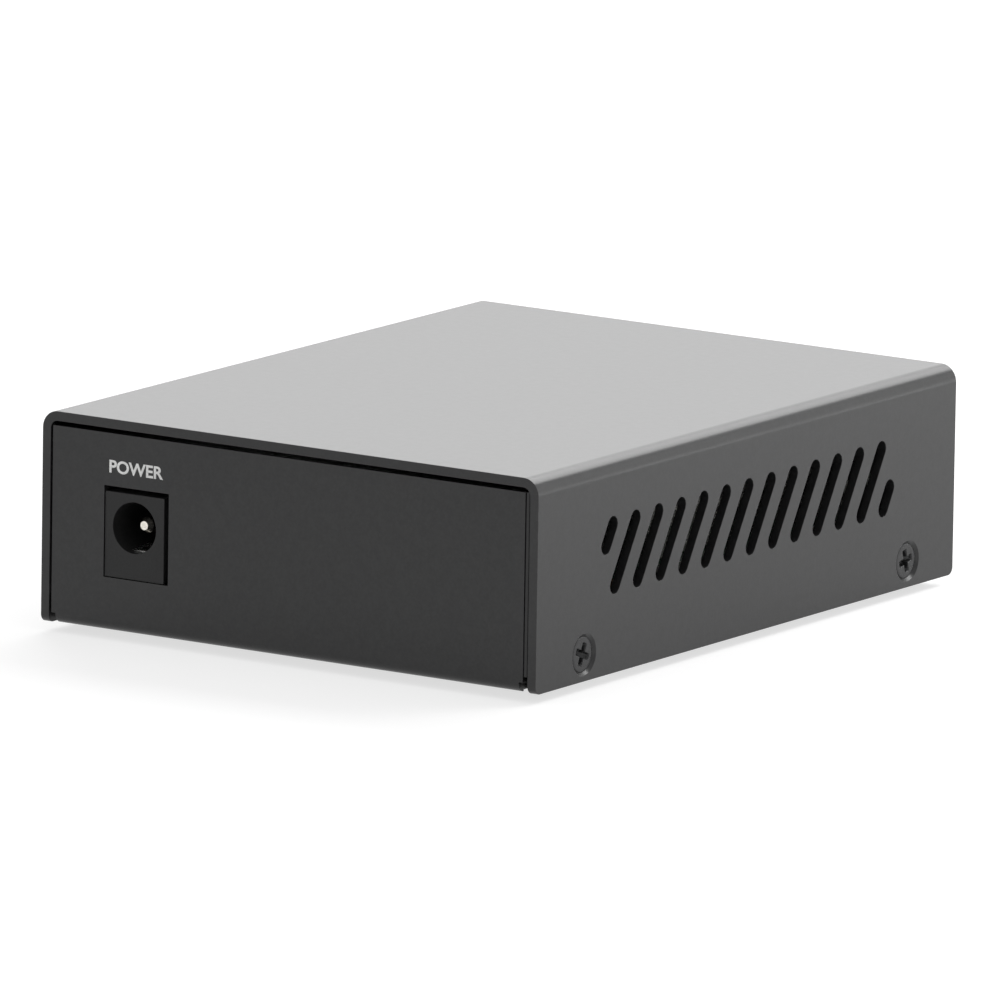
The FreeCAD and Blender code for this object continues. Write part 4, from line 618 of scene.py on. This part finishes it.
light_legs = [leg(x + side*LEG_PITCH/2, z, LOW_LEG_BACK if z < lamp_high[2] - LAMP_R else HIGH_LEG_BACK)
              for x, _, z in lamp_spots for side in (-1, 1)]
set_points, set_faces = repeated(light_legs, grid_faces(len(light_legs[0])//4, 4))
indicator_legs = place_mesh("indicator_light_legs", set_points*MM, set_faces, tin_plate)
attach(indicator_legs, "converter")

# --- Power jack -------------------------------------------------------------------------------
# Black moulded jack behind a cut-out of the rear panel: a turned, nickel plated pin in the middle
# of its bore, a tinned spring leaf below it, and a flat terminal riveted to the pin.
jack_nylon = finish("black_jack_moulding", (0.007, 0.007, 0.0072), (0.012, 0.012, 0.0122), 0.46, 0.58,
                    4e-6, patch=240.0, grain=3200.0, IOR=1.42)
softened("power_jack_housing", jack_nylon, 0.2*MM)
pin_nickel = finish("turned_nickel_pin", (0.62, 0.59, 0.53), (0.86, 0.83, 0.76), 0.16, 0.26, 1e-6,
                    patch=500.0, grain=3000.0, stretch=(1, 6, 1), Metallic=1.0)
coat_node("power_jack_pin", pin_nickel)
coat_node("power_jack_leaf", tin_plate)
coat_node("power_jack_terminal", tin_plate)

# --- Parts on the board -----------------------------------------------------------------------
# Moulded chips with tinned leads, an isolation transformer, three aluminium capacitor cans in a row,
# a dark ferrite coil, a pressed crystal can, tan chip capacitors and the input diode.
black_epoxy = finish("black_moulded_epoxy", (0.014, 0.014, 0.0145), (0.026, 0.026, 0.027), 0.48, 0.64, 4e-6,
                     patch=260.0, grain=3600.0)
for name in ("transceiver_chip", "isolation_transformer", "memory_chip", "supply_chip", "input_diode"):
    softened(name, black_epoxy, 0.08*MM)
for name in ("transceiver_leads", "isolation_transformer_leads", "memory_chip_leads", "supply_chip_leads"):
    coat_node(name, tin_plate)
drawn_can = finish("drawn_aluminium_can", (0.52, 0.53, 0.55), (0.68, 0.69, 0.71), 0.2, 0.34, 1e-6,
                   patch=350.0, grain=2400.0, stretch=(1, 1, 0.2), Metallic=1.0)
coat_node("filter_capacitors", drawn_can)
dark_ferrite = finish("dark_ferrite", (0.018, 0.018, 0.019), (0.05, 0.05, 0.052), 0.5, 0.7, 8e-6,
                      patch=600.0, grain=3200.0)
softened("power_coil", dark_ferrite, 0.2*MM)
coat_node("crystal_can", cage_plate)
tan_ceramic = finish("tan_ceramic", (0.28, 0.19, 0.10), (0.40, 0.28, 0.16), 0.4, 0.5, 2e-6,
                     patch=900.0, grain=4000.0)
coat_node("chip_capacitors", tan_ceramic)
